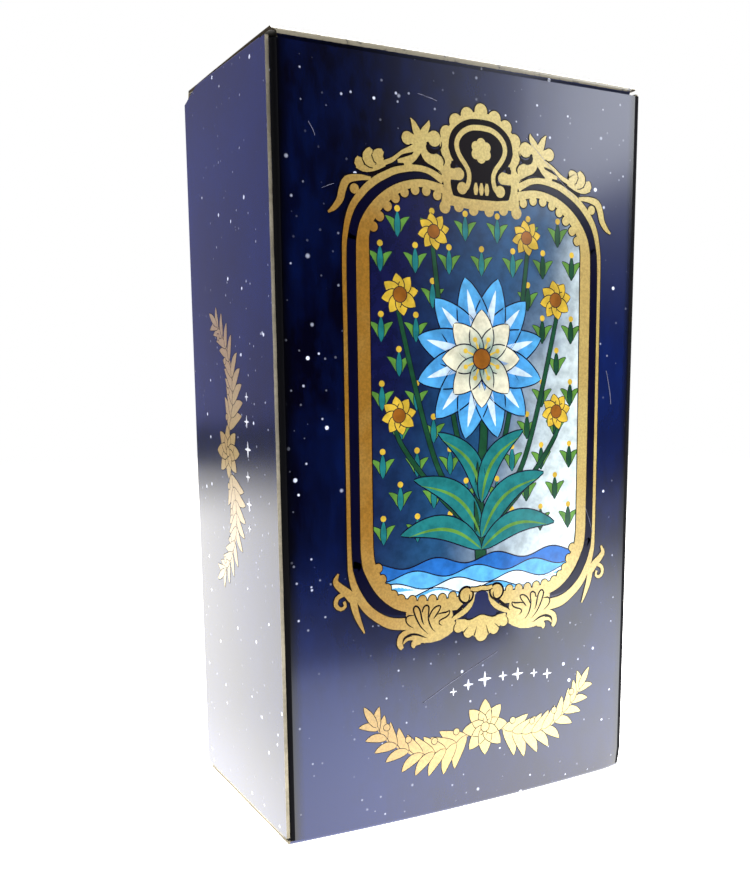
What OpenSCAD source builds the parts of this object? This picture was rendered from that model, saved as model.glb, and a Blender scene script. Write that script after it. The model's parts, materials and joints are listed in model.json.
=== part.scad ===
// Tarot card deck in its folding tuck-end carton, with a stapled guide booklet.
// The front panel faces -Y and +Z is up. The origin is the centre of the footprint.

/* [Cards] */
// Width of a card
card_w = 66; // [55:0.5:80]
// Height of a card
card_h = 120; // [90:0.5:145]
// Thickness of a card
card_t = 0.4; // [0.3:0.01:0.5]
// Radius of a card's corners
card_corner_r = 4; // [1:0.5:8]
// Air between two neighbouring cards in the stack
card_air = 0.01; // [0.005:0.005:0.05]
// Number of trump cards, one node each
trump_count = 22; // [1:1:30]
// Number of cards in each of the four suits
suit_count = 14; // [10:1:16]

/* [Booklet] */
// Width of the booklet, spine to fore-edge
booklet_w = 63; // [50:0.5:65]
// Height of the booklet
booklet_h = 116; // [85:0.5:119]
// Thickness of the booklet's cover
cover_t = 0.25; // [0.15:0.05:0.4]
// Number of folded sheets inside the cover
sheet_count = 14; // [4:1:24]
// Thickness of one sheet
sheet_t = 0.1; // [0.08:0.01:0.14]
// Air between two sheets
sheet_air = 0.005; // [0.005:0.005:0.02]
// How far the sheets end short of the cover at the fore-edge, head and tail
sheet_trim = 0.4; // [0.2:0.1:1]
// Thickness of the staple wire
wire_t = 0.4; // [0.3:0.05:0.6]
// Length of a staple's crown
staple_len = 11; // [8:0.5:14]
// Length of each clinched staple leg
clinch_len = 4; // [2:0.25:5]
// Distance between the middles of the two staples
staple_pitch = 60; // [30:1:90]
// Clearance around the staple wire
wire_air = 0.05; // [0.03:0.01:0.1]

/* [Carton] */
// Thickness of the folding board
board = 0.55; // [0.4:0.05:0.7]
// Outside radius of the upright and bottom folds
fold_r = 0.8; // [0.7:0.05:1.2]
// Play between the cards and the carton on each side
side_play = 0.9; // [0.4:0.1:2]
// Play between the last card and the bottom's tuck flap
back_play = 0.3; // [0.2:0.1:1]
// Play between the booklet and the first card
booklet_play = 0.2; // [0.1:0.1:1]
// Room above the cards or the booklet, whichever is taller
head_room = 2.6; // [1:0.1:5]
// Air under the cards and the booklet
rest_air = 0.02; // [0.01:0.01:0.05]
// Width of the glue flap inside the left panel
glue_len = 12; // [8:0.5:16]
// How far the glue flap's ends taper
glue_taper = 4; // [2:0.5:6]
// How far the left panel's raw edge stands back from the front face at its foot
seam_setback_foot = 0.15; // [0.1:0.05:0.6]
// How far the left panel's raw edge stands back from the front face at its head
seam_setback_head = 1.1; // [0.1:0.05:1.5]
// Height cut off the side panels' top back corners
relief_h = 1.7; // [0.5:0.1:2.5]
// Length of that cut
relief_len = 6.5; // [3:0.1:9]

/* [Closure] */
// Radius of the rounded crease nose that each moving flap turns about
nose_r = 0.25; // [0.15:0.01:0.26]
// Clearance between a crease nose and its flap
crease_gap = 0.13; // [0.1:0.01:0.3]
// How far the lid's edges stand in from the side faces
lid_inset = 1; // [0.8:0.1:2]
// Air between the lid and the dust flaps under it
lid_air = 0.15; // [0.1:0.05:0.4]
// Gap between the lid and the front panel's top edge
mouth_gap = 0.9; // [0.4:0.1:1.5]
// Length of the tuck flap below its crease
tuck_len = 14; // [10:0.5:18]
// Lean of the tuck flap towards the cards, in degrees
tuck_lean = 7; // [6.5:0.25:10]
// How far the tuck flap folds in while the lid opens, in degrees
tuck_fold_in = 36; // [20:1:45]
// Clearance between the tuck flap's crease and the front panel
tuck_air = 0.15; // [0.1:0.05:0.4]
// How far the tuck flap's ends stand in from the lid's
tuck_inset = 0.8; // [0.5:0.1:2]
// Radius of the tuck flap's corners
tuck_corner_r = 6; // [2:0.5:9]
// Clearance between the tuck flap's tip and the booklet
tuck_tip_air = 0.3; // [0.2:0.05:1]
// Length of a top dust flap from its crease
dust_len = 26; // [18:0.5:30]
// Radius of a dust flap's front corner
dust_corner_r = 6; // [2:0.5:10]
// Slope of a dust flap's back edge, along the lid crease per unit away from the side
dust_slope = 0.56; // [0.52:0.01:0.8]
// Clearance between a dust flap and the cut at its panel's top back corner
dust_back_air = 0.3; // [0.2:0.1:2]

/* [Bottom] */
// How far the bottom panel's edges stand in from the side faces
bottom_inset = 0.5; // [0.3:0.1:1]
// Height of the bottom's tuck flap inside the back panel
bottom_tuck_len = 14; // [10:0.5:18]
// Clearance between the bottom's tuck flap and the back panel
bottom_tuck_air = 0.1; // [0.05:0.05:0.3]
// Length of a bottom dust flap
bottom_dust_len = 25; // [15:0.5:28]
// Clearance between a bottom flap's ends and the upright panels
bottom_end_air = 0.4; // [0.3:0.1:1]
// Gap under the back panel's bottom edge
back_lift = 0.15; // [0.05:0.05:0.4]

/* [Hidden] */
SUITS = ["wands", "cups", "swords", "coins"];
BOARD_COLOUR = [0.09, 0.1, 0.24];
FLAP_COLOUR = [0.13, 0.14, 0.3];
LINER_COLOUR = [0.86, 0.84, 0.78];
CARD_COLOUR = [0.95, 0.94, 0.9];
COVER_COLOUR = [0.8, 0.78, 0.72];
STEEL_COLOUR = [0.72, 0.73, 0.75];

// Steps along a quarter turn of a rounded outline
arc_steps = 8;

// How far a fold's end runs on into the panel that it belongs to
fold_lap = fold_r;

// Stack of cards
card_pitch = card_t + card_air;
deck_count = trump_count + len(SUITS) * suit_count;
deck_t = deck_count * card_pitch - card_air;

// Booklet: the clinched legs lie in the gap between its two halves
sheet_pitch = sheet_t + sheet_air;
centre_gap = wire_t + 2 * wire_air;
booklet_t = 2 * (cover_t + sheet_count * sheet_pitch) + centre_gap;

// Room that the leaning tuck flap takes behind the front panel
tuck_root_y = tuck_air + board / 2;
front_room = tuck_root_y + tuck_len * sin(tuck_lean) + board / 2 * cos(tuck_lean) + tuck_tip_air;

// Outside of the carton, worked out from what it holds
floor_z = 2 * board;
contents_w = max(card_w, booklet_w);
contents_h = max(card_h, booklet_h);
carton_w = contents_w + 2 * side_play + 3 * board;
contents_d = front_room + booklet_t + booklet_play + deck_t + back_play;
carton_d = contents_d + bottom_tuck_air + 3 * board;
carton_h = floor_z + rest_air + contents_h + head_room + lid_air + 2 * board;
half_w = carton_w / 2;
half_d = carton_d / 2;

// Places inside the carton
inner_front = -half_d + board;
booklet_y = inner_front + front_room;
deck_y = booklet_y + booklet_t + booklet_play;
contents_x = board / 2;
contents_z = floor_z + rest_air;

// Crease axes: the lid's at the back, the tuck flap's at the front, the dust flaps' at the sides
lid_z = carton_h - board / 2;
lid_axis_y = half_d - board / 2;
tuck_axis_y = inner_front + tuck_root_y;
dust_z = carton_h - 1.5 * board - lid_air;
dust_axis_x = half_w - board / 2;
flap_start = nose_r + crease_gap;
tuck_turn = tuck_lean + tuck_fold_in;
tuck_start = board / 2 * (1 + sin(tuck_turn)) / cos(tuck_turn) + crease_gap / 2;
lid_half_w = half_w - lid_inset;

// Top edges and bottom edges of the upright panels
front_top = carton_h - board - mouth_gap;
dust_front_y = booklet_y;
dust_back_y = half_d - fold_r - relief_len - dust_back_air;
side_bottom = board + fold_r;
relief_z = dust_z - relief_h;

// Outer face of the bottom's tuck flap
bottom_tuck_y = half_d - board - bottom_tuck_air;

function two_digits(n) = str(n < 10 ? "0" : "", n);
function trump_name(i) = str("trump_card_", two_digits(i + 1));
function suit_name(s) = str(SUITS[s], "_cards");

// Points along an arc about a centre, from one angle to another
function arc(centre, r, from, to) =
    [for (k = [0 : arc_steps]) let (a = from + (to - from) * k / arc_steps) centre + r * [cos(a), sin(a)]];

// A sheet of board bent about a centre: the outside arc, then the inside arc back again
function fold_outside(centre, from, to) = arc(centre, fold_r, from, to);
function fold_inside(centre, from, to) = arc(centre, fold_r - board, to, from);

// A flat outline drawn in X and Z, given a thickness along +Y from y
module upright(y, thickness) {
    translate([0, y + thickness, 0])
        rotate([90, 0, 0])
            linear_extrude(thickness)
                children();
}

// An outline drawn in Y and Z, given a length along X about the middle
module along_x(half_length) {
    translate([-half_length, 0, 0])
        rotate([90, 0, 90])
            linear_extrude(2 * half_length)
                children();
}

// A rounded rectangle about the middle of its foot
module card_outline(w, h, r) {
    half = w / 2;
    polygon(concat(
        arc([-half + r, r], r, 180, 270),
        arc([half - r, r], r, 270, 360),
        arc([half - r, h - r], r, 0, 90),
        arc([-half + r, h - r], r, 90, 180)
    ));
}

// Front panel with its folds to the right panel and to the glue flap
module front_panel() {
    left = [-half_w + board + fold_r, -half_d + fold_r];
    right = [half_w - fold_r, -half_d + fold_r];
    color(BOARD_COLOUR)
        translate([0, 0, fold_r])
            linear_extrude(front_top - fold_r)
                polygon(concat(
                    fold_outside(left, 180, 270),
                    fold_outside(right, 270, 360),
                    fold_inside(right, 270, 360),
                    fold_inside(left, 180, 270)
                ));
}

// Flap on the front panel's fold, glued inside the left panel
module glue_flap() {
    front = -half_d + fold_r;
    bottom = side_bottom + bottom_end_air;
    top = front_top;
    color(LINER_COLOUR)
        translate([-half_w + board, 0, 0])
            rotate([90, 0, 90])
                linear_extrude(board)
                    polygon([
                        [front, bottom],
                        [front + glue_len, bottom + glue_taper],
                        [front + glue_len, top - glue_taper],
                        [front, top]
                    ]);
}

// Crease nose along Y on top of a side panel, where its dust flap turns
module side_nose(x) {
    translate([x, dust_front_y, dust_z])
        rotate([-90, 0, 0])
            cylinder(r = nose_r, h = dust_back_y - dust_front_y, $fn = 32);
}

// Side panel's face in Y and Z, with its top back corner cut off, from front edges at foot and head
module side_outline(foot_y, head_y) {
    back_y = half_d - fold_r;
    polygon([
        [foot_y, side_bottom],
        [back_y, side_bottom],
        [back_y, relief_z],
        [back_y - relief_len, dust_z],
        [head_y, dust_z]
    ]);
}

// Right panel with its fold to the back panel
module right_panel() {
    back = [half_w - fold_r, half_d - fold_r];
    front_y = -half_d + fold_r;
    color(BOARD_COLOUR) {
        translate([half_w - board, 0, 0])
            rotate([90, 0, 90])
                linear_extrude(board)
                    side_outline(front_y, front_y);
        translate([0, 0, side_bottom])
            linear_extrude(relief_z - side_bottom)
                polygon(concat(
                    [[half_w, half_d - fold_r - fold_lap]],
                    fold_outside(back, 0, 90),
                    fold_inside(back, 0, 90),
                    [[half_w - board, half_d - fold_r - fold_lap]]
                ));
        side_nose(dust_axis_x);
    }
}

// Back panel with its fold to the left panel and the crease nose of the lid
module back_panel() {
    left = [-half_w + fold_r, half_d - fold_r];
    flat_half = half_w - fold_r;
    color(BOARD_COLOUR) {
        translate([-flat_half, half_d - board, back_lift])
            cube([2 * flat_half, board, relief_z - back_lift]);
        translate([0, 0, side_bottom])
            linear_extrude(relief_z - side_bottom)
                polygon(concat(
                    fold_outside(left, 90, 180),
                    fold_inside(left, 90, 180),
                    [[-flat_half + fold_lap, half_d - board], [-flat_half + fold_lap, half_d]]
                ));
        translate([-lid_half_w, half_d - board, back_lift])
            cube([2 * lid_half_w, board, lid_z - back_lift]);
        translate([-lid_half_w, lid_axis_y, lid_z])
            rotate([0, 90, 0])
                cylinder(r = nose_r, h = 2 * lid_half_w, $fn = 32);
    }
}

// Left panel, glued over the glue flap, with its raw edge a little askew at the front
module left_panel() {
    color(BOARD_COLOUR) {
        translate([-half_w, 0, 0])
            rotate([90, 0, 90])
                linear_extrude(board)
                    side_outline(-half_d + seam_setback_foot, -half_d + seam_setback_head);
        side_nose(-dust_axis_x);
    }
}

// Bottom panel, folded from the front panel
module bottom_panel() {
    fold = [-half_d + fold_r, fold_r];
    end_y = bottom_tuck_y - fold_r;
    color(FLAP_COLOUR)
        along_x(half_w - bottom_inset)
            polygon(concat(
                fold_outside(fold, 180, 270),
                [[end_y, 0], [end_y, board]],
                fold_inside(fold, 180, 270)
            ));
}

// Flap folded up from the bottom panel and tucked inside the back panel
module bottom_tuck_flap() {
    fold = [bottom_tuck_y - fold_r, fold_r];
    half = half_w - board - fold_r - bottom_end_air;
    r = tuck_corner_r;
    color(FLAP_COLOUR) {
        along_x(half)
            polygon(concat(
                fold_outside(fold, 270, 360),
                [[bottom_tuck_y, fold_r + fold_lap], [bottom_tuck_y - board, fold_r + fold_lap]],
                fold_inside(fold, 270, 360)
            ));
        upright(bottom_tuck_y - board, board)
            polygon(concat(
                [[-half, fold_r], [half, fold_r]],
                arc([half - r, bottom_tuck_len - r], r, 0, 90),
                arc([-half + r, bottom_tuck_len - r], r, 90, 180)
            ));
    }
}

// Bottom dust flap on the left, folded from the left panel over the bottom panel
module bottom_dust_flap() {
    fold = [-half_w + fold_r, side_bottom];
    end_x = -half_w + fold_r + bottom_dust_len;
    front_y = -half_d + board + fold_r + bottom_end_air;
    back_y = bottom_tuck_y - board - fold_r - bottom_end_air;
    color(FLAP_COLOUR)
        upright(front_y, back_y - front_y)
            polygon(concat(
                fold_outside(fold, 180, 270),
                [[end_x, board], [end_x, floor_z]],
                fold_inside(fold, 180, 270)
            ));
}

module bottom_left_dust_flap() {
    bottom_dust_flap();
}

module bottom_right_dust_flap() {
    mirror([1, 0, 0])
        bottom_dust_flap();
}

// Lid, hinged on the back panel, with the crease nose of the tuck flap at its front
module lid_panel() {
    back_y = lid_axis_y - flap_start;
    color(FLAP_COLOUR) {
        translate([-lid_half_w, tuck_axis_y, lid_z - board / 2])
            cube([2 * lid_half_w, back_y - tuck_axis_y, board]);
        translate([-lid_half_w, tuck_axis_y, lid_z])
            rotate([0, 90, 0])
                cylinder(r = nose_r, h = 2 * lid_half_w, $fn = 32);
    }
}

// Flap at the lid's front, tucked behind the front panel and leaning towards the cards
module lid_tuck_flap() {
    half = lid_half_w - tuck_inset;
    r = tuck_corner_r;
    color(FLAP_COLOUR)
        translate([0, tuck_axis_y, lid_z])
            rotate([tuck_lean, 0, 0])
                upright(-board / 2, board)
                    polygon(concat(
                        [[half, -tuck_start], [-half, -tuck_start]],
                        arc([-half + r, -tuck_len + r], r, 180, 270),
                        arc([half - r, -tuck_len + r], r, 270, 360)
                    ));
}

// Dust flap on the left, under the lid: its back edge slopes so that it can rise with the lid
module top_dust_flap() {
    root_x = -dust_axis_x + flap_start;
    tip_x = -dust_axis_x + dust_len;
    root_back_y = dust_back_y - dust_slope * flap_start;
    tip_back_y = dust_back_y - dust_slope * dust_len;
    r = dust_corner_r;
    color(FLAP_COLOUR)
        translate([0, 0, dust_z - board / 2])
            linear_extrude(board)
                polygon(concat(
                    [[root_x, root_back_y], [root_x, dust_front_y]],
                    arc([tip_x - r, dust_front_y + r], r, 270, 360),
                    [[tip_x, tip_back_y]]
                ));
}

module top_left_dust_flap() {
    top_dust_flap();
}

module top_right_dust_flap() {
    mirror([1, 0, 0])
        top_dust_flap();
}

// One folded sheet round the booklet's middle plane, open at the fore-edge
module folded_sheet(spine_x, fore_x, half_t, thickness) {
    polygon([
        [spine_x, -half_t],
        [fore_x, -half_t],
        [fore_x, -half_t + thickness],
        [spine_x + thickness, -half_t + thickness],
        [spine_x + thickness, half_t - thickness],
        [fore_x, half_t - thickness],
        [fore_x, half_t],
        [spine_x, half_t]
    ]);
}

// Frame of the booklet: spine at x = 0, middle plane at y = 0, tail at z = 0
module booklet_frame() {
    translate([contents_x - booklet_w / 2, booklet_y + booklet_t / 2, contents_z])
        children();
}

function staple_z(s) = booklet_h / 2 + s * staple_pitch / 2;

// Holes for the four staple legs through the spine
module staple_holes() {
    hole = wire_t + 2 * wire_air;
    spine_t = cover_t + sheet_count * sheet_pitch;
    for (s = [-1, 1], e = [-1, 1])
        translate([0, -hole / 2, staple_z(s) + e * (staple_len - wire_t) / 2 - hole / 2])
            cube([spine_t + wire_t, hole, hole]);
}

module booklet_cover() {
    color(COVER_COLOUR)
        booklet_frame()
            difference() {
                linear_extrude(booklet_h)
                    folded_sheet(wire_t, booklet_w, booklet_t / 2, cover_t);
                staple_holes();
            }
}

module booklet_sheets() {
    first_x = wire_t + cover_t + sheet_air;
    first_half = booklet_t / 2 - cover_t - sheet_air;
    color(CARD_COLOUR)
        booklet_frame()
            for (i = [0 : sheet_count - 1])
                difference() {
                    translate([0, 0, sheet_trim])
                        linear_extrude(booklet_h - 2 * sheet_trim)
                            folded_sheet(
                                first_x + i * sheet_pitch,
                                booklet_w - sheet_trim,
                                first_half - i * sheet_pitch,
                                sheet_t
                            );
                    staple_holes();
                }
}

// Wire staples: the crown lies on the spine, the clinched legs in the middle fold
module booklet_staples() {
    half = staple_len / 2;
    tip_x = wire_t + cover_t + sheet_count * sheet_pitch + wire_air + wire_t;
    color(STEEL_COLOUR)
        booklet_frame()
            for (s = [-1, 1])
                translate([0, 0, staple_z(s)])
                    upright(-wire_t / 2, wire_t)
                        polygon([
                            [0, -half],
                            [tip_x, -half],
                            [tip_x, -half + clinch_len],
                            [tip_x - wire_t, -half + clinch_len],
                            [tip_x - wire_t, -half + wire_t],
                            [wire_t, -half + wire_t],
                            [wire_t, half - wire_t],
                            [tip_x - wire_t, half - wire_t],
                            [tip_x - wire_t, half - clinch_len],
                            [tip_x, half - clinch_len],
                            [tip_x, half],
                            [0, half]
                        ]);
}

// A card by its place in the stack, counted from the front
module card(index) {
    color(CARD_COLOUR)
        translate([contents_x, 0, contents_z])
            upright(deck_y + index * card_pitch, card_t)
                card_outline(card_w, card_h, card_corner_r);
}

module trump_card(i) {
    card(i);
}

module suit_cards(s) {
    for (k = [0 : suit_count - 1])
        card(trump_count + s * suit_count + k);
}

front_panel();
right_panel();
back_panel();
left_panel();
glue_flap();
bottom_panel();
bottom_tuck_flap();
bottom_left_dust_flap();
bottom_right_dust_flap();
lid_panel();
lid_tuck_flap();
top_left_dust_flap();
top_right_dust_flap();
booklet_cover();
booklet_sheets();
booklet_staples();
for (i = [0 : trump_count - 1])
    trump_card(i);
for (s = [0 : len(SUITS) - 1])
    suit_cards(s);
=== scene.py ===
"""Looks of a tarot card deck in its tuck-end carton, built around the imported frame.

Lengths are metres; artwork is drawn in millimetres.
The front faces -Y and the glue seam is at the front left.
"""
import json
import math
from functools import cached_property

import bmesh
import bpy
from mathutils import Matrix, Vector, noise


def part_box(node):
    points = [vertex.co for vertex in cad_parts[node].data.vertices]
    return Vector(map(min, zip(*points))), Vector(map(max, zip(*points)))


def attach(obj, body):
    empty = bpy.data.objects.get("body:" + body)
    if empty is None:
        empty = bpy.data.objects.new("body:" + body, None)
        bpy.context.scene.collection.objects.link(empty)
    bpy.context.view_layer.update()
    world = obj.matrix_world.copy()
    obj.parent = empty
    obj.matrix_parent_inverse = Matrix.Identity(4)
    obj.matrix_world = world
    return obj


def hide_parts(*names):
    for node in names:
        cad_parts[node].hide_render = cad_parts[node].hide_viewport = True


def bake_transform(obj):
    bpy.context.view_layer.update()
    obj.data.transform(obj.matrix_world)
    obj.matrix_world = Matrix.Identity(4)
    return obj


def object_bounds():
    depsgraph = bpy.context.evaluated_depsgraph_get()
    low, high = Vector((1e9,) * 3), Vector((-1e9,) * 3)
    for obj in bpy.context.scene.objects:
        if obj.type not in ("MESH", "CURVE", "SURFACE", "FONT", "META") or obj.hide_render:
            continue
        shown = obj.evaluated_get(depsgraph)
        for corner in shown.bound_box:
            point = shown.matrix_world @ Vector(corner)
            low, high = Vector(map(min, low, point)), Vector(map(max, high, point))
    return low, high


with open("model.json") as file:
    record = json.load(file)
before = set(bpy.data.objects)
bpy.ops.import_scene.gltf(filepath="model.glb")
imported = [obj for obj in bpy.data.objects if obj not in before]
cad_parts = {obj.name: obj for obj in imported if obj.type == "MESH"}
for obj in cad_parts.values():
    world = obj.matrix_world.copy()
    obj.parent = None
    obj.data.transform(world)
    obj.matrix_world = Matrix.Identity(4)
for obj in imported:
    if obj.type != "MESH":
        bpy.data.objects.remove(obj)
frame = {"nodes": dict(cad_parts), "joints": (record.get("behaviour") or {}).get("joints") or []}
cad_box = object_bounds()

MM = 0.001

# Sizes read from the frame
HALF_W, HALF_D, TOP = cad_box[1]
FRONT_LOW, FRONT_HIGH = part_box("front_panel")
LEFT_LOW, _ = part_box("left_panel")
BACK_LOW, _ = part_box("back_panel")
LID_LOW, LID_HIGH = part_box("lid_panel")
TUCK_LOW, TUCK_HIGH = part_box("lid_tuck_flap")
DUST_LOW, DUST_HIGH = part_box("top_left_dust_flap")
BOTTOM_LOW, BOTTOM_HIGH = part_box("bottom_panel")
AXIS = {joint["name"]: Vector(joint["pos_m"]) for joint in frame["joints"] if joint["type"] == "hinge"}
LID_AXIS = AXIS["lid_fold"]
TUCK_AXIS = AXIS["tuck_fold"]
DUST_AXIS = AXIS["right_dust_fold"]
BOARD = LID_HIGH.z - LID_LOW.z
FOLD_R = FRONT_LOW.z
SEAM_X = FRONT_LOW.x
FRONT_TOP = FRONT_HIGH.z
SIDE_BOTTOM = LEFT_LOW.z
SEAM_FOOT = LEFT_LOW.y

# Sizes that repeat the part's source
SEAM_HEAD = -HALF_D + 1.1 * MM
RELIEF_H = 1.7 * MM
RELIEF_LEN = 6.5 * MM
TUCK_LEAN = math.radians(7)
TUCK_LEN = 14 * MM
TUCK_START = 0.697 * MM
TUCK_CORNER = 6 * MM
DUST_SLOPE = 0.56
DUST_CORNER = 6 * MM

# Shape of a used carton: how far its panels stand out, its crushed corner, its lid and its edges
FRONT_BULGE = 1.4 * MM
BACK_BULGE = 0.7 * MM
SIDE_BULGE = 0.25 * MM
BULGE_DEPTH = 5 * MM
CRUSH_SIZE = 4 * MM
CRUSH = Vector((-0.35, 0.2, 0.15)) * MM
LID_ROUND = 0.65 * MM
LID_SPREAD = Vector((0.15, 0.7)) * MM
LID_BOW = 0.5 * MM
LID_BOW_X = -6 * MM
LID_BOW_HALF = 52 * MM
SEAM_ROUGH = 0.07 * MM
SEAM_GRAIN = 3 * MM
SKIN = 0.03 * MM
# Radius of the dark rods of painted shade in the creases
SHADE_ROD_R = 0.24 * MM
# How far the painted shade of the front's right fold reaches onto the flat
FOLD_SHADE_WIDTH = 0.4 * MM

# Mesh steps along a panel's height, width and depth, and places close to an edge
TALL, WIDE, DEEP_STEPS, FLAP_STEPS = 44, 36, 30, 20
MARGINS = (0.15 * MM, 0.45 * MM)
CORNER_STEPS = 14
SHARP = math.radians(35)


def ease(t):
    """Smooth step from 0 to 1."""
    t = min(1.0, max(0.0, t))
    return t * t * (3 - 2 * t)


def mix(a, b, t):
    return a + (b - a) * t


# Materials

NAVY = (0.0002, 0.0001, 0.0045, 1)
NAVY_LIGHT = (0.0014, 0.0090, 0.072, 1)
VIOLET = (0.0014, 0.0006, 0.014, 1)
# Grey of the painted sheen at the front's upper right
PAINTED_SHEEN_TINT = (0.022, 0.027, 0.066, 1)
STAR = (0.80, 0.84, 1.0, 1)
PAPER = (0.30, 0.265, 0.19, 1)
# Near-black of the painted shade in folds and creases
CREASE_SHADE = (0.0004, 0.0003, 0.0012, 1)
BARE = (0.42, 0.40, 0.36, 1)
GOLD = (0.27, 0.125, 0.012, 1)
GOLD_LIGHT = (0.46, 0.36, 0.12, 1)
GOLD_DEEP_Z = 72 * MM
CARD_EDGES = ((0.40, 0.37, 0.29, 1), (0.60, 0.57, 0.48, 1))
CARD_INKS = ((0.02, 0.03, 0.13, 1), (0.09, 0.12, 0.30, 1))
CARD_BORDER = (0.62, 0.60, 0.52, 1)
CARD_PRINT_X = 29 * MM
CARD_PRINT_Z = 56 * MM
CARD_FADE = 0.5 * MM
BOOK_INKS = ((0.018, 0.028, 0.11, 1), (0.03, 0.045, 0.16, 1))
BOOK_LINE = (0.45, 0.40, 0.25, 1)
BOOK_MIDDLE = 59 * MM
BOOK_LINE_Z = 53.05 * MM
WIRE = ((0.45, 0.46, 0.48, 1), (0.72, 0.73, 0.75, 1))
GLOSS = {"Roughness": 0.5, "Coat_Weight": 1.0, "Coat_Roughness": 0.16, "Specular_IOR_Level": 0.0}

# Stars: spacing, radius and brightness of each size
STAR_LAYERS = ((2.1 * MM, 0.26 * MM, 1.0), (4.2 * MM, 0.40 * MM, 2.0), (7.6 * MM, 0.46 * MM, 2.2))
FAINT_CELL = 3 * MM


class Shader:
    """A Principled material with short names for its nodes. Constant values go on its own sockets."""

    def __init__(self, name, **values):
        self.material = bpy.data.materials.new(name)
        self.material.use_nodes = True
        self.tree = self.material.node_tree
        self.surface = self.tree.nodes["Principled BSDF"]
        for key, value in values.items():
            self.surface.inputs[key.replace("_", " ")].default_value = value

    def put(self, kind, inputs=None, **settings):
        """Adds a node; inputs take a value or another node's output."""
        node = self.tree.nodes.new(kind)
        for key, value in settings.items():
            setattr(node, key, value)
        for key, value in (inputs or {}).items():
            if isinstance(value, bpy.types.NodeSocket):
                self.tree.links.new(value, node.inputs[key])
            else:
                node.inputs[key].default_value = value
        return node

    def feed(self, socket, value):
        self.tree.links.new(value, self.surface.inputs[socket])

    @cached_property
    def coords(self):
        return self.put("ShaderNodeTexCoord").outputs["Object"]

    @cached_property
    def place(self):
        return self.split(self.coords)

    def split(self, vector):
        return self.put("ShaderNodeSeparateXYZ", {"Vector": vector}).outputs

    def vector(self, operation, other):
        return self.put("ShaderNodeVectorMath", {0: self.coords, 1: other}, operation=operation).outputs

    def attribute(self, name):
        return self.put("ShaderNodeAttribute", attribute_name=name).outputs

    def noise(self, scale, detail=3.0, roughness=0.5, at=None):
        inputs = {"Vector": at or self.coords, "Scale": scale, "Detail": detail, "Roughness": roughness}
        return self.put("ShaderNodeTexNoise", inputs).outputs["Fac"]

    def ramp(self, value, low, high, to_low=0.0, to_high=1.0):
        inputs = {"Value": value, "From Min": low, "From Max": high, "To Min": to_low, "To Max": to_high}
        return self.put("ShaderNodeMapRange", inputs, interpolation_type="SMOOTHSTEP").outputs["Result"]

    def maths(self, operation, a, b=0.0, clamp=False):
        return self.put("ShaderNodeMath", {0: a, 1: b}, operation=operation, use_clamp=clamp).outputs[0]

    def plus(self, a, b, clamp=False):
        return self.maths("ADD", a, b, clamp)

    def times(self, a, b, clamp=False):
        return self.maths("MULTIPLY", a, b, clamp)

    def off(self, value, middle):
        """Distance of a value from a middle one."""
        return self.maths("ABSOLUTE", self.maths("SUBTRACT", value, middle))

    def mixed(self, factor, a, b, blend="MIX"):
        inputs = {"Factor": factor, 6: a, 7: b}
        return self.put("ShaderNodeMix", inputs, data_type="RGBA", blend_type=blend).outputs[2]

    def mottled(self, colour, pattern, low, high, between=(0.3, 0.7)):
        """A colour that a pattern makes darker and lighter."""
        return self.mixed(1.0, colour, self.ramp(pattern, *between, low, high), "MULTIPLY")

    def bump(self, height, distance, strength=1.0):
        made = self.put("ShaderNodeBump", {"Height": height, "Distance": distance, "Strength": strength})
        self.feed("Normal", made.outputs["Normal"])


def laminate(look, colour):
    """Lays a colour under the film of a laminated board, with its slight waves and orange peel."""
    look.feed("Base Color", colour)
    peel = look.times(look.noise(1400.0, 2.0), 0.012)
    look.bump(look.plus(look.noise(38.0, 2.0), peel), 0.05 * MM)
    return look.material


def stars(look):
    """Brightness of a star field: three sizes of dots, the faint ones in drifts."""
    total = 0.0
    drift = look.ramp(look.noise(45.0, 2.0), 0.42, 0.62, 0.25, 1.0)
    for cell, radius, light in STAR_LAYERS:
        cells = look.put("ShaderNodeTexVoronoi", {"Vector": look.coords, "Scale": 1 / cell}).outputs
        own = look.put("ShaderNodeSeparateColor", {"Color": cells["Color"]}).outputs[0]
        dot = look.ramp(cells["Distance"], radius / cell, 0.35 * radius / cell)
        dot = look.times(dot, look.ramp(own, 0.1, 1.0, 0.15 * light, light))
        if cell < FAINT_CELL:
            dot = look.times(dot, drift)
        total = look.plus(total, dot)
    return look.maths("MINIMUM", total, 1.0)


def worn(look, colour):
    """Mixes in bare board where the mesh's wear value is high, for edge wear and the painted highlight of the
    tuck crease, and darkens nearly to black where it is negative, as painted shade in folds and creases.
    """
    wear_and_painted_light = look.attribute("wear_and_painted_light")["Fac"]
    colour = look.mixed(look.times(wear_and_painted_light, -1.0, clamp=True), colour, CREASE_SHADE)
    grain = look.times(look.noise(900.0, 4.0, 0.65), 0.9)
    return look.mixed(look.ramp(look.plus(wear_and_painted_light, grain), 1.18, 1.36), colour, PAPER)


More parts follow.
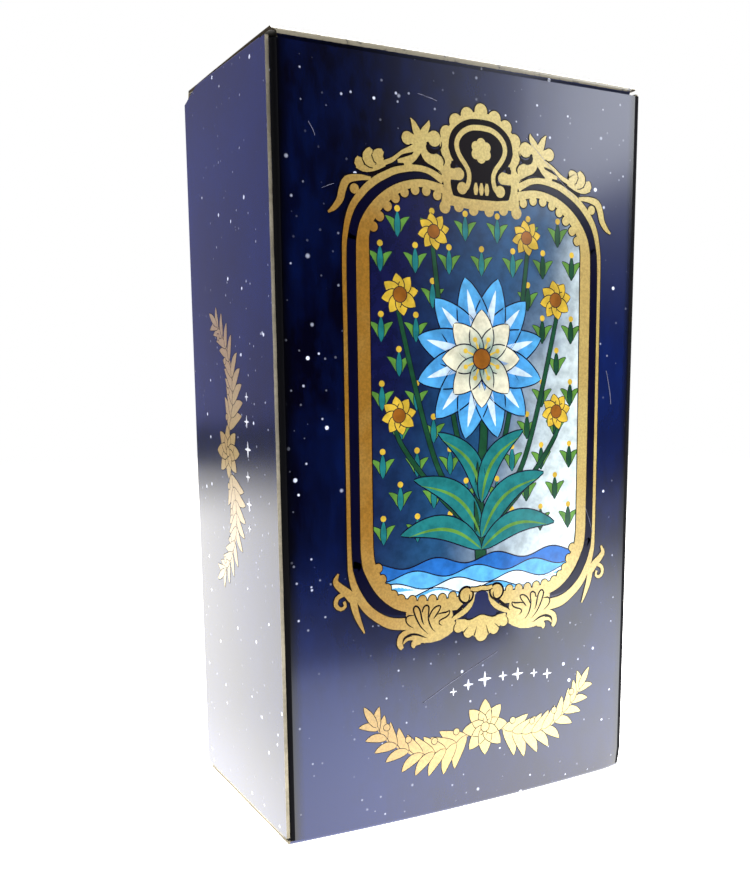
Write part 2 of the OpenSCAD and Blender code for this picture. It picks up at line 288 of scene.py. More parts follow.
def make_print_and_sheen():
    """Night print of the panels, with painted light: lighter to the right, low down and on the left side as
    painted reflection, and a painted grey sheen at the front's upper right.
    """
    look = Shader("night_print_and_sheen", **GLOSS)
    x, y, z = look.place
    # Painted reflection: lighter towards the right, above the lowest part of the panels.
    across = look.times(look.ramp(x, -HALF_W, HALF_W, -0.15, 0.45), look.ramp(z, 0.15 * TOP, 0.5 * TOP))
    # Painted reflection of the floor: lighter low down, most at the front's left.
    upward = look.ramp(z, 0.0, 0.55 * TOP, 0.7, 0.0)
    for width, low, high in ((1.5 * HALF_W, 1.6, 0.0), (1 * MM, 0.1, 1.0)):
        upward = look.times(upward, look.ramp(x, -HALF_W, -HALF_W + width, low, high))
    streak = look.noise(450.0, 4.0, 0.65, look.vector("MULTIPLY", (1.0, 1.0, 0.45))[0])
    streak = look.ramp(streak, 0.35, 0.7, -0.07, 0.15)
    cloud = look.plus(look.ramp(look.noise(30.0, 4.0), 0.3, 0.7, -0.12, 0.42), streak)
    # Painted reflection: the left panel lighter all over.
    side = look.ramp(x, -HALF_W, 1 * MM - HALF_W, 0.4, 0.0)
    # Painted reflection and the print's cloudy tone together.
    painted_light_and_cloud = look.plus(look.plus(across, upward), look.plus(cloud, side), clamp=True)
    colour = look.mixed(painted_light_and_cloud, NAVY, NAVY_LIGHT)
    colour = look.mixed(look.ramp(look.noise(14.0), 0.52, 0.75, 0.0, 0.7), colour, VIOLET)
    # Painted sheen: a grey haze over the front's upper right.
    painted_sheen = look.times(look.ramp(x, -0.3 * HALF_W, HALF_W), look.ramp(z, 0.62 * TOP, 0.86 * TOP))
    painted_sheen = look.times(painted_sheen, look.ramp(y, 2 * MM - HALF_D, 0.5 * MM - HALF_D))
    colour = look.mixed(painted_sheen, colour, PAINTED_SHEEN_TINT)
    colour = look.mixed(stars(look), colour, STAR)
    look.feed("Roughness", look.ramp(look.noise(60.0, 6.0, 0.7), 0.4, 0.7, 0.42, 0.58))
    # worn also lays in the painted shade of folds and creases and the tuck crease's painted highlight.
    return laminate(look, worn(look, colour))


def make_gold_and_sheen():
    """Gold ink with painted sheen: deep at the frame's left middle, painted paler to the right, at the top,
    at the foot and on the left panel, with a little random tone.
    """
    look = Shader("gold_ink_and_sheen", **{**GLOSS, "Roughness": 0.45, "Metallic": 0.25, "Specular_IOR_Level": 0.1})
    x, _, z = look.place
    # Painted sheen: paler to the right, on the left panel, away from the middle height and at the top; the
    # noise is the ink's own tone.
    painted_sheen_and_tone = look.ramp(x, -0.6 * HALF_W, 0.6 * HALF_W, 0.0, 0.7)
    painted_sheen_and_tone = look.plus(painted_sheen_and_tone, look.ramp(x, -HALF_W, 2 * MM - HALF_W, 0.5, 0.0))
    painted_sheen_and_tone = look.plus(painted_sheen_and_tone, look.ramp(look.off(z, GOLD_DEEP_Z), 0.16 * TOP, 0.34 * TOP, 0.0, 0.4))
    painted_sheen_and_tone = look.plus(painted_sheen_and_tone, look.ramp(z, 0.76 * TOP, 0.9 * TOP, 0.0, 0.3))
    painted_sheen_and_tone = look.plus(painted_sheen_and_tone, look.ramp(look.noise(120.0), 0.35, 0.7, -0.08, 0.12), clamp=True)
    colour = look.mixed(painted_sheen_and_tone, GOLD, GOLD_LIGHT)
    return laminate(look, look.mottled(colour, look.noise(2600.0, 2.0, 0.6), 0.8, 1.12))


def make_inked(name, colour, variation=0.12, coat=1.0):
    """A flat ink under the same film, mottled a little."""
    look = Shader(name, **{**GLOSS, "Coat_Weight": coat})
    return laminate(look, look.mottled(colour, look.noise(300.0, 4.0), 1 - variation, 1 + variation))


def make_picture():
    """Picture print: each shape's own colour, with the fine mottle of a printed drawing."""
    look = Shader("picture_print", **GLOSS)
    ink = look.attribute("ink")["Color"]
    return laminate(look, look.mottled(ink, look.noise(420.0, 5.0, 0.6), 0.72, 1.2))


def make_board(name, colour, speck=0.18):
    """Uncoated board: fibres and specks, and a soft tooth."""
    look = Shader(name, Roughness=0.85, Specular_IOR_Level=0.0)
    fibres = look.noise(1600.0, 6.0, 0.7)
    specks = look.times(fibres, look.noise(140.0))
    look.feed("Base Color", look.mottled(colour, specks, 1 - speck, 1 + 0.5 * speck, (0.12, 0.4)))
    look.bump(fibres, 0.02 * MM)
    return look.material


def make_card():
    """Card: cream edges that differ a little from card to card, and a bordered print on both faces."""
    look = Shader("card_stock", Roughness=0.5, Specular_IOR_Level=0.4)
    normal = look.put("ShaderNodeTexCoord").outputs["Normal"]
    facing = look.maths("ABSOLUTE", look.split(normal)["Y"])
    layers = look.noise(1.0, 2.0, at=look.vector("MULTIPLY", (20.0, 1700.0, 20.0))[0])
    edge = look.mixed(look.ramp(layers, 0.3, 0.7), *CARD_EDGES)
    wavy = {"Vector": look.coords, "Scale": 55.0, "Distortion": 3.0}
    waves = look.put("ShaderNodeTexWave", wavy, bands_direction="DIAGONAL").outputs["Fac"]
    ink = look.mixed(look.ramp(waves, 0.35, 0.65), *CARD_INKS)
    across = look.ramp(look.off(look.place["X"], 0.0), CARD_PRINT_X + CARD_FADE, CARD_PRINT_X)
    upward = look.ramp(look.off(look.place["Z"], TOP / 2), CARD_PRINT_Z + CARD_FADE, CARD_PRINT_Z)
    face = look.mixed(look.times(across, upward), CARD_BORDER, ink)
    look.feed("Base Color", look.mixed(look.ramp(facing, 0.6, 0.8), edge, face))
    look.bump(layers, 0.03 * MM, 0.4)
    return look.material


def make_cover():
    """Booklet cover: matt blue print with a pale border line."""
    look = Shader("booklet_cover", Roughness=0.7, Specular_IOR_Level=0.3)
    fibres = look.noise(700.0, 5.0, 0.65)
    ink = look.mixed(look.ramp(fibres, 0.3, 0.7), *BOOK_INKS)
    off_line = look.off(look.off(look.place["Z"], BOOK_MIDDLE), BOOK_LINE_Z)
    look.feed("Base Color", look.mixed(look.ramp(off_line, 0.55 * MM, 0.25 * MM), ink, BOOK_LINE))
    look.bump(fibres, 0.02 * MM)
    return look.material


def make_wire():
    look = Shader("staple_wire", Metallic=1.0, Roughness=0.35)
    drawn = look.noise(900.0, 4.0)
    look.feed("Base Color", look.mixed(drawn, *WIRE))
    look.feed("Roughness", look.ramp(drawn, 0.3, 0.7, 0.25, 0.45))
    return look.material


PRINT = make_print_and_sheen()
GOLD_INK = make_gold_and_sheen()
NIGHT_INK = make_inked("night_ink", (0.004, 0.0022, 0.003, 1), coat=0.3)
BLUE_INK = make_inked("blue_ink", (0.004, 0.008, 0.045, 1))
DEEP_INK = make_inked("deep_ink", (0.0015, 0.0015, 0.012, 1), coat=0.5)
WHITE_INK = make_inked("white_ink", (0.75, 0.76, 0.82, 1), 0.06)
SCRATCH = make_board("scratched_film", (0.26, 0.26, 0.33, 1), 0.3)
PICTURE = make_picture()
BARE_BOARD = make_board("bare_board", BARE)
RAW_EDGE = make_board("raw_edge", PAPER, 0.3)
# Painted shade: dark brown cut edges for the lid and creases, over raw board that is cream
SHADED_EDGE = make_board("shaded_edge", (0.075, 0.06, 0.042, 1), 0.3)
# Painted shade: near-black matt material of folds and of the rods in creases
FOLD_SHADE = Shader("painted_fold_shade", Base_Color=CREASE_SHADE, Roughness=0.8, Specular_IOR_Level=0.1).material

# Materials of a board: print, inside, edges and folds. The fold material is painted shade, and the lid's and
# creases' edges are darkened as painted shade.
SKINS = (PRINT, BARE_BOARD, RAW_EDGE, FOLD_SHADE)
LID_SKINS = (PRINT, BARE_BOARD, SHADED_EDGE, FOLD_SHADE)
CREASE_SKINS = (PRINT, BARE_BOARD, SHADED_EDGE, PRINT)
SKIN_I, INSIDE_I, EDGE_I, FOLD_I = range(4)


# Mesh helpers

def warp(point):
    """Moves a point of the carton's tube to where the used carton's panels bulge or are crushed."""
    x, y, z = point
    moved = Vector(point)
    middle = math.sin(math.pi * min(1.0, max(0.0, z / TOP)))
    across = max(0.0, 1 - (x / HALF_W) ** 2)
    deep = max(0.0, 1 - (y / HALF_D) ** 2)
    foot = max(0.0, 1 - (max(0.0, z) / FRONT_TOP) ** 2.5)
    front, back, side = FRONT_BULGE * across * foot, BACK_BULGE * across * middle, SIDE_BULGE * deep * middle
    for axis, sign, bulge in ((1, -1, front), (1, 1, back), (0, 1, side), (0, -1, side)):
        near = (sign * point[axis] - (HALF_W, HALF_D)[axis] + BULGE_DEPTH) / BULGE_DEPTH
        moved[axis] += sign * bulge * ease(near)
    off = math.hypot(x - HALF_W, y + HALF_D) / CRUSH_SIZE
    crushed = ease(1 - off) * ease(1 - z / CRUSH_SIZE)
    return moved + CRUSH * crushed


def spread(start, stop, count):
    """Even places from start to stop, with extra ones close to both ends for the worn edge."""
    sign = 1 if stop > start else -1
    near = [start + sign * margin for margin in MARGINS]
    far = [stop - sign * margin for margin in reversed(MARGINS)]
    inner = [mix(near[-1], far[0], k / count) for k in range(count + 1)]
    return [start, *near[:-1], *inner, *far[1:], stop]


def arc(centre, radius, start, stop, steps=8):
    """Points and outward normals of an arc in a plane, by angles in degrees."""
    made = []
    for k in range(steps + 1):
        angle = math.radians(mix(start, stop, k / steps))
        normal = (math.cos(angle), math.sin(angle))
        made.append(((centre[0] + radius * normal[0], centre[1] + radius * normal[1]), normal))
    return made


def finish_mesh(name, bm, materials):
    bmesh.ops.recalc_face_normals(bm, faces=bm.faces)
    mesh = bpy.data.meshes.new(name)
    bm.to_mesh(mesh)
    bm.free()
    for item in materials:
        mesh.materials.append(item)
    mesh.polygons.foreach_set("use_smooth", [True] * len(mesh.polygons))
    mesh.set_sharp_from_angle(angle=SHARP)
    piece = bpy.data.objects.new(name, mesh)
    bpy.context.scene.collection.objects.link(piece)
    return piece


def sheet(name, grid, shift=warp, materials=SKINS, thickness=BOARD, worn_sides="", dark=(), pale=()):
    """A board of even thickness. grid[i][j] is an outer point and its outward normal.

    worn_sides names the raw sides: f and l for the first and last row, b and t for the first and last column.
    dark are the rows in a fold, darkened nearly to black as painted shade. pale ones are rubbed down to the
    board, which on the tuck crease is worn print and a painted highlight.
    """
    rows = len(grid)
    columns = len(grid[0])
    bm = bmesh.new()
    wear_and_painted_light = bm.verts.layers.float.new("wear_and_painted_light")
    outer = [[bm.verts.new(shift(point)) for point, _ in row] for row in grid]
    inner = [[bm.verts.new(shift(point - normal * thickness)) for point, normal in row] for row in grid]
    for i in range(rows):
        for j in range(columns):
            on_side = {"f": i == 0, "l": i == rows - 1, "b": j == 0, "t": j == columns - 1}
            # Raw sides get wear; pale rows turn to bare board, partly as a painted highlight; dark rows are
            # darkened as painted shade.
            if any(on_side[side] for side in worn_sides):
                outer[i][j][wear_and_painted_light] = 1.0
            elif i in pale:
                outer[i][j][wear_and_painted_light] = 0.95
            elif i in dark:
                outer[i][j][wear_and_painted_light] = -1.0
    for i in range(rows - 1):
        # Painted shade: faces between two darkened rows take the fold material.
        skin = FOLD_I if i in dark and i + 1 in dark else SKIN_I
        for j in range(columns - 1):
            for layer, index in ((outer, skin), (inner, INSIDE_I)):
                corners = (layer[i][j], layer[i + 1][j], layer[i + 1][j + 1], layer[i][j + 1])
                bm.faces.new(corners).material_index = index
    rim = [(i, 0) for i in range(rows)]
    rim += [(rows - 1, j) for j in range(1, columns)]
    rim += [(i, columns - 1) for i in range(rows - 2, -1, -1)]
    rim += [(0, j) for j in range(columns - 2, -1, -1)]
    for (i, j), (m, n) in zip(rim, rim[1:]):
        bm.faces.new((outer[i][j], outer[m][n], inner[m][n], inner[i][j])).material_index = EDGE_I
    return finish_mesh(name, bm, materials)


def upright(profile, low, high):
    """Rows of a wall: each profile point runs from low to high, which depend on the point."""
    grid = []
    for (x, y), (normal_x, normal_y) in profile:
        heights = spread(low(x, y), high(x, y), TALL)
        grid.append([(Vector((x, y, z)), Vector((normal_x, normal_y, 0))) for z in heights])
    return grid


def along_x(path, low, high):
    """Rows that run along X through the points of a path in YZ."""
    places = spread(low.x, high.x, WIDE)
    return [[(Vector((x, *point)), Vector((0, *normal))) for x in places] for point, normal in path]


def ride(piece, body):
    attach(piece, body)


def stand_for(piece, node, body="carton"):
    ride(piece, body)
    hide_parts(node)


# Carton walls

def front_wall():
    left = arc((SEAM_X + FOLD_R, -HALF_D + FOLD_R), FOLD_R, 180, 270)
    right = arc((HALF_W - FOLD_R, -HALF_D + FOLD_R), FOLD_R, 270, 360)
    start, stop = left[-1][0][0], right[0][0][0]
    places = [mix(start, stop, k / WIDE) for k in range(1, WIDE)]
    flat = [((x, -HALF_D), (0, -1)) for x in [*places, stop - FOLD_SHADE_WIDTH]]
    grid = upright(left + flat + right, lambda x, y: FOLD_R, lambda x, y: FRONT_TOP)
    # Painted shade: the rows of both side folds, and a strip of the flat beside the right one, darkened
    # nearly to black.
    dark = [*range(len(left)), *range(len(grid) - len(right) - 1, len(grid))]
    stand_for(sheet("front_board", grid, dark=dark), "front_panel")


def side_top(y):
    """Height of a side panel's top edge: its back corner is cut away under the lid's crease."""
    run = (y - (HALF_D - FOLD_R - RELIEF_LEN)) / RELIEF_LEN
    return DUST_AXIS.z - RELIEF_H * min(1.0, max(0.0, run))


def left_wall():
    back_y = HALF_D - FOLD_R
    grid = []
    for share in [0, 0.004, 0.012, *[k / DEEP_STEPS for k in range(1, DEEP_STEPS + 1)]]:
        row = []
        for z in spread(SIDE_BOTTOM, side_top(mix(SEAM_FOOT, back_y, share)), TALL):
            rough = SEAM_ROUGH * noise.noise(Vector((0.0, 0.0, z / SEAM_GRAIN)))
            edge = mix(SEAM_FOOT, SEAM_HEAD, z / TOP) + rough
            row.append((Vector((-HALF_W, mix(edge, back_y, share), z)), Vector((-1, 0, 0))))
        grid.append(row)
    stand_for(sheet("left_board", grid, worn_sides="fb"), "left_panel")


def right_wall():
    back_y = HALF_D - FOLD_R
    flat = [((HALF_W, mix(-back_y, back_y, k / DEEP_STEPS)), (1, 0)) for k in range(DEEP_STEPS)]
    profile = flat + arc((HALF_W - FOLD_R, back_y), FOLD_R, 0, 90)
    grid = upright(profile, lambda x, y: SIDE_BOTTOM, lambda x, y: side_top(y))
    stand_for(sheet("right_board", grid, worn_sides="bt"), "right_panel")


def back_wall():
    flat_half = HALF_W - FOLD_R
    places = [flat_half, *[mix(LID_HIGH.x, LID_LOW.x, k / WIDE) for k in range(WIDE + 1)]]
    profile = [((x, HALF_D), (0, 1)) for x in places]
    profile += arc((-flat_half, HALF_D - FOLD_R), FOLD_R, 90, 180)

    def low(x, y):
        return BACK_LOW.z if abs(x) < flat_half else SIDE_BOTTOM

    def high(x, y):
        return LID_AXIS.z if abs(x) <= LID_HIGH.x + SKIN else DUST_AXIS.z - RELIEF_H

    stand_for(sheet("back_board", upright(profile, low, high), worn_sides="b"), "back_panel")


def bottom_wall():
    path = arc((-HALF_D + FOLD_R, FOLD_R), FOLD_R, 180, 270)
    fold_y = path[-1][0][0]
    for k in range(1, FLAP_STEPS + 1):
        path.append(((mix(fold_y, BOTTOM_HIGH.y, k / FLAP_STEPS), 0.0), (0, -1)))
    grid = along_x(path, BOTTOM_LOW, BOTTOM_HIGH)
    stand_for(sheet("bottom_board", grid, worn_sides="bt"), "bottom_panel")


def shade_rod(name, start, stop, steps=16):
    """A dark rod of painted shade in a crease, between two points on its axis."""
    along = (stop - start).normalized()
    side = along.cross(Vector((0, 0, 1))).normalized()
    other = along.cross(side)
    angles = [2 * math.pi * k / steps for k in range(steps)]
    bm = bmesh.new()
    rings = []
    for centre in (start, stop):
        spokes = [side * math.cos(a) + other * math.sin(a) for a in angles]
        rings.append([bm.verts.new(centre + spoke * SHADE_ROD_R) for spoke in spokes])
    for k in range(steps):
        bm.faces.new((rings[0][k], rings[0][k - 1], rings[1][k - 1], rings[1][k]))
    for ring in rings:
        bm.faces.new(ring)
    ride(finish_mesh(name, bm, (FOLD_SHADE,)), "carton")


# Lid and flaps

def lid_rise(x, y):
    """How far the used lid bows up, most at its front."""
    across = max(0.0, 1 - ((x - LID_BOW_X) / LID_BOW_HALF) ** 2)
    return LID_BOW * across * ease((LID_HIGH.y - y) / (LID_HIGH.y - LID_LOW.y))


def lid_wall():
    back = LID_HIGH.y
    front = TUCK_AXIS.y - BOARD / 2 + LID_ROUND
    grid = []
    for y in spread(front, back, FLAP_STEPS):
        wider = LID_SPREAD * ease((back - y) / (back - front) * 3)
        places = spread(LID_LOW.x - wider.x, LID_HIGH.x + wider.y, WIDE)
        grid.append([(Vector((x, y, TOP + lid_rise(x, y))), Vector((0, 0, 1))) for x in places])
    stand_for(sheet("lid_board", grid, Vector, LID_SKINS), "lid_panel", "lid")


def tuck_point(distance):
    """Point on the tuck flap's outer face, that far below its crease, and the outward normal."""
    down = Vector((0, math.sin(TUCK_LEAN), -math.cos(TUCK_LEAN)))
    out = Vector((0, -math.cos(TUCK_LEAN), -math.sin(TUCK_LEAN)))
    return TUCK_AXIS + down * distance + out * (0.5 * BOARD), out


def flap_runs(start, length, corner, count):
    """Distances along a flap, closer together at its rounded corners."""
    even = [mix(start, length - corner, k / count) for k in range(count)]
    turns = [math.sin(math.pi / 2 * k / CORNER_STEPS) for k in range(CORNER_STEPS + 1)]
    return even + [length - corner + corner * turn for turn in turns]


def rounded_end(run, length, radius):
    """How far a flap's side stands in where its corners are rounded, at a distance along the flap."""
    past = run - (length - radius)
    if past <= 0:
        return 0.0
    return radius - math.sqrt(max(0.0, radius * radius - past * past))


def tuck_wall():
    grid = []
    for run in flap_runs(TUCK_START, TUCK_LEN, TUCK_CORNER, 8):
        point, out = tuck_point(run)
        half = TUCK_HIGH.x - rounded_end(run, TUCK_LEN, TUCK_CORNER)
        grid.append([(point + Vector((x, 0, 0)), out) for x in spread(-half, half, DEEP_STEPS)])
    stand_for(sheet("tuck_board", grid, Vector, worn_sides="lbt"), "lid_tuck_flap", "tuck_flap")


def dust_wall(side, sign):
    root = DUST_AXIS.x + DUST_LOW.x
    length = DUST_AXIS.x + DUST_HIGH.x
    grid = []
    for run in flap_runs(root, length, DUST_CORNER, CORNER_STEPS):
        front = DUST_LOW.y + rounded_end(run, length, DUST_CORNER)
        back = DUST_HIGH.y - DUST_SLOPE * (run - root)
        x = sign * (DUST_AXIS.x - run)
        places = spread(front, back, FLAP_STEPS)
        grid.append([(Vector((x, y, DUST_HIGH.z)), Vector((0, 0, 1))) for y in places])
    piece = sheet(f"{side}_dust_board", grid, Vector, worn_sides="lbt")
    stand_for(piece, f"top_{side}_dust_flap", f"{side}_dust_flap")


def crease(name, rows, thickness=SKIN, pale=()):
    """A printed crease that bends between two bodies; rows run from the first body to the second. All its
    rows are darkened nearly to black as painted shade, but for pale rows.
    """
    piece = sheet(name, rows, Vector, CREASE_SKINS, thickness, dark=range(len(rows)), pale=pale)
    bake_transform(piece)


def lid_crease():
    path = arc((LID_AXIS.y, LID_AXIS.z), BOARD / 2, 0, 90, 10)
    path.append(((LID_HIGH.y, TOP), (0, 1)))
    rows = along_x(path, LID_LOW, LID_HIGH)
    shade_rod("lid_crease_shade_rod", *[Vector((x, *LID_AXIS.yz)) for x in (LID_LOW.x, LID_HIGH.x)])
    crease("lid_crease", rows)


def tuck_crease():
    face = TUCK_AXIS.y - BOARD / 2
    path = arc((face + LID_ROUND, TOP - LID_ROUND), LID_ROUND, 90, 180, 12)
    foot, out = tuck_point(TUCK_START)
    (edge_y, edge_z), _ = path[-1]
    for share in (0.5, 1.0):
        path.append(((mix(edge_y, foot.y, share), mix(edge_z, foot.z, share)), (out.y, out.z)))
    last = len(path) - 1
    rows = []
    for k, ((y, z), normal) in enumerate(path):
        narrow = ease(1.8 * k / last - 0.8)
        low = mix(LID_LOW.x - LID_SPREAD.x, TUCK_LOW.x, narrow)
        high = mix(LID_HIGH.x + LID_SPREAD.y, TUCK_HIGH.x, narrow)
        lift = min(1.0, 0.5 * (last - k))
        heights = [(x, z + lift * lid_rise(x, y)) for x in spread(low, high, WIDE)]
        rows.append([(Vector((x, y, height)), Vector((0, *normal))) for x, height in heights])
    # The middle rows are rubbed pale: worn print along the fold, and a painted highlight.
    crease("tuck_crease", rows, 0.8 * BOARD, range(1, last))


def dust_crease(side, sign):
    path = arc((DUST_AXIS.x, DUST_AXIS.z), BOARD / 2, 0, 90, 10)
    path.append(((-DUST_LOW.x, DUST_HIGH.z), (0, 1)))
    places = spread(DUST_LOW.y, DUST_HIGH.y, FLAP_STEPS)
    rows = []
    for (x, z), (normal_x, normal_z) in path:
        rows.append([(Vector((sign * x, y, z)), Vector((sign * normal_x, 0, normal_z))) for y in places])
    axis = Vector((sign * DUST_AXIS.x, 0, DUST_AXIS.z))
    shade_rod(f"{side}_dust_crease_shade_rod", *[axis + Vector((0, y, 0)) for y in (DUST_LOW.y, DUST_HIGH.y)])
    crease(f"{side}_dust_crease", rows)


SIDES = (("left", -1), ("right", 1))

front_wall()
left_wall()
right_wall()
back_wall()
bottom_wall()
lid_wall()
tuck_wall()
for side, sign in SIDES:
    dust_wall(side, sign)
lid_crease()
tuck_crease()
for side, sign in SIDES:
    dust_crease(side, sign)


def wear_material(node, made):
    """Gives a CAD node one material in place of its own."""
    data = frame["nodes"][node].data
    data.materials.clear()
    data.materials.append(made)


for node in ("bottom_tuck_flap", "bottom_left_dust_flap", "bottom_right_dust_flap"):
    wear_material(node, BARE_BOARD)
wear_material("glue_flap", PRINT)
CARD = make_card()
for node in frame["nodes"]:
    if "card" in node:
        wear_material(node, CARD)
wear_material("booklet_cover", make_cover())
wear_material("booklet_sheets", make_board("booklet_paper", (0.60, 0.58, 0.51, 1), 0.1))
wear_material("booklet_staples", make_wire())


# Printed artwork: thin closed strips laid over the panels, drawn in millimetres

INK_LIFT = 0.012
INK_STEP = 0.00015
INK_SINK = 0.01
INK_LINE = (0.004, 0.005, 0.02, 1)
FINE = 0.03
OUTLINE = 0.28
CUT_W = 0.2
RIM = 0.16
CURVE_STEP = 0.6
FRAME_X = 1.38
GOLD_I, NIGHT_I, WHITE_I, BLUE_I, DEEP_I = range(5)
INKS = (GOLD_INK, NIGHT_INK, WHITE_INK, BLUE_INK, DEEP_INK)


def on_front(u, v, lift):
    return warp((u * MM, -HALF_D - lift * MM, v * MM))


def in_frame(u, v, lift):
    return on_front(u + FRAME_X, v, lift)


def on_left(u, v, lift):
    return warp((-HALF_W - lift * MM, u * MM, v * MM))


def on_right(u, v, lift):
    return warp((HALF_W + lift * MM, -u * MM, v * MM))


def on_back(u, v, lift):
    return warp((u * MM, HALF_D + lift * MM, v * MM))


def flip(points, sign):
    return [(sign * point[0], *point[1:]) for point in points]


def ring(centre, radii, count, start=0.0):
    """Points round an ellipse, from an angle on."""
    angles = [start + 2 * math.pi * k / count for k in range(count)]
    return [(centre[0] + radii[0] * math.cos(a), centre[1] + radii[1] * math.sin(a)) for a in angles]


def between(a, b, c, d, t):
    """Smooth curve from b to c, whose neighbours are a and d."""
    cubic = 3 * b - a - 3 * c + d
    return 0.5 * (2 * b + (c - a) * t + (2 * a - 5 * b + 4 * c - d) * t ** 2 + cubic * t ** 3)


def curve(points):
    """Points along a smooth line through the given ones; a third number, a width, is carried along."""
    before = [2 * a - b for a, b in zip(points[0], points[1])]
    after = [2 * a - b for a, b in zip(points[-1], points[-2])]
    full = [before, *points, after]
    made = []
    for k in range(1, len(full) - 2):
        count = max(2, math.ceil(math.dist(full[k][:2], full[k + 1][:2]) / CURVE_STEP))
        for n in range(count):
            made.append([between(*four, n / count) for four in zip(*full[k - 1:k + 3])])
    return [*made, list(points[-1])]


class Artwork:
    """Shapes printed on one panel. Each shape lies on top of those drawn before it."""

    def __init__(self, name, place, inks=INKS, lift=INK_LIFT):
        self.name = name
        self.place = place
        self.inks = inks
        self.lift = lift
        self.bm = bmesh.new()
        self.tint = self.bm.verts.layers.float_color.new("ink")

    def strip(self, left, right, ink=0, tint=None):
        """A shape between two edges. tint is a colour, or a function of the place."""
        self.lift += INK_STEP
        rings = []
        for a, b in zip(left, right):
            corners = []
            for (u, v), lift in ((a, self.lift), (b, self.lift), (b, -INK_SINK), (a, -INK_SINK)):
                vertex = self.bm.verts.new(self.place(u, v, lift))
                if tint:
                    vertex[self.tint] = tint(u, v) if callable(tint) else tint
                corners.append(vertex)
            rings.append(corners)
        faces = []
        for first, second in zip(rings, rings[1:]):
            faces += [(first[k], second[k], second[k - 1], first[k - 1]) for k in range(4)]
        for face in [*faces, rings[0], rings[-1]]:
            self.bm.faces.new(face).material_index = ink

    def stroke(self, points, ink=0, tint=None, outline=0.0):
        """A line through points of (u, v, width), with a dark outline where one is asked for."""
        if outline:
            wide = [(u, v, width + 2 * outline) for u, v, width in points]
            self.stroke(wide, ink if tint else NIGHT_I, tint and INK_LINE)
        path = curve(points)
        left, right = [], []
        for k, (u, v, width) in enumerate(path):
            before = path[max(0, k - 1)]
            after = path[min(len(path) - 1, k + 1)]
            du, dv = after[0] - before[0], after[1] - before[1]
            size = math.hypot(du, dv) or 1.0
            half = max(FINE, width) / 2
            left.append((u - dv / size * half, v + du / size * half))
            right.append((u + dv / size * half, v - du / size * half))
        self.strip(left, right, ink, tint)

    def leaf(self, base, tip, width, ink=0, tint=None, bow=0.0, outline=0.0, steps=12):
        """A pointed leaf; bow bends its middle aside, and outline draws a larger dark one under it."""
        du, dv = tip[0] - base[0], tip[1] - base[1]
        points = []
        for k in range(steps + 1):
            t = k / steps
            aside = bow * math.sin(math.pi * t)
            girth = width * math.sin(math.pi * t ** 0.85) ** 0.75 if 0 < k < steps else FINE
            points.append((base[0] + du * t - dv * aside, base[1] + dv * t + du * aside, girth))
        self.stroke(points, ink, tint, outline)

    def disc(self, centre, radius, ink=0, tint=None, outline=0.0, steps=14):
        if outline:
            self.disc(centre, radius + outline, ink if tint else NIGHT_I, tint and INK_LINE)
        upper, lower = [], []
        for k in range(steps + 1):
            angle = math.pi * min(1 - FINE / 4, max(FINE / 4, k / steps))
            upper.append((centre[0] + radius * math.cos(angle), centre[1] + radius * math.sin(angle)))
            lower.append((centre[0] + radius * math.cos(angle), centre[1] - radius * math.sin(angle)))
        self.strip(upper, lower, ink, tint)

    def twice(self, draw, signs=(-1, 1)):
        """Draws the left and the right half at one level; draw takes the side's sign."""
        ground = self.lift
        for sign in signs:
            self.lift = ground
            draw(sign)

    def twin_strokes(self, lines, ink=0, outline=0.0, rim=0.0):
        for line in lines:
            wide = [(u, v, width + 2 * rim) for u, v, width in line]
            self.twice(lambda sign: self.stroke(flip(wide, sign), ink, outline=outline))

    def twin_discs(self, places, ink=0, outline=0.0, rim=0.0):
        for u, v, radius in places:
            signs = (-1, 1) if u else (1,)
            self.twice(lambda sign: self.disc((sign * u, v), radius + rim, ink, outline=outline), signs)

    def twin_strips(self, upper, lower, ink=0):
        self.twice(lambda sign: self.strip(flip(upper, sign), flip(lower, sign), ink))

    def finish(self):
        ride(finish_mesh(self.name, self.bm, self.inks), "carton")


# Ornamental frame of the front: right half as (u, v, width), mirrored for the left

OUTER_LINE = [
    (14.2, 34.6, 2), (17.2, 35, 1.9), (19.6, 36.2, 1.6), (21.8, 38.1, 1.5), (23.3, 40.5, 1.3),
    (24.3, 43.3, 1), (24.65, 47, 0.7), (24.7, 60, 0.65), (24.7, 80, 0.65), (24.7, 93, 0.7),
    (24.35, 97.3, 0.85), (23.3, 100.7, 1.05), (21.3, 103.3, 1.15), (19.3, 104.95, 1.15), (17.4, 106, 1.1),
    (15.4, 106.85, 1.05), (12.2, 107.42, 0.95), (9.9, 107.2, 0.95), (8.3, 106.5, 1.1), (7.2, 105.9, 1.2),
]
BAND = [
    (3.8, 37.1, 2.2), (10, 37, 2.2), (13.5, 37.5, 2.1), (16.4, 38.5, 2.1), (18.9, 40.7, 2.2),
    (20.6, 43.5, 2.25), (21.5, 46.5, 2.2), (21.6, 55, 2.15), (21.6, 75, 2.15), (21.6, 92.5, 2.2),
    (21.4, 97, 2), (20.4, 99.5, 1.9), (18.4, 101.9, 1.8), (15.9, 103.8, 1.5), (13.2, 104.9, 1.2),
    (10.5, 105.2, 1.2), (7.2, 104.6, 1.4),
]
GAP = [
    (14.4, 36.4, 0.3), (16, 36.7, 0.9), (18.2, 37.5, 1.4), (20.6, 39.3, 1.7), (22.2, 41.8, 1.7),
    (23.1, 45, 1.9), (23.5, 50, 2), (23.5, 92, 2), (23.2, 96.5, 2), (22.2, 100, 2), (20.3, 102.4, 1.9),
    (17.6, 104.6, 1.7), (14.6, 105.9, 1.4), (11.6, 106.5, 1), (9.2, 106, 0.6), (7.6, 104.95, 0.1),
]
SCALLOP_R = 0.76
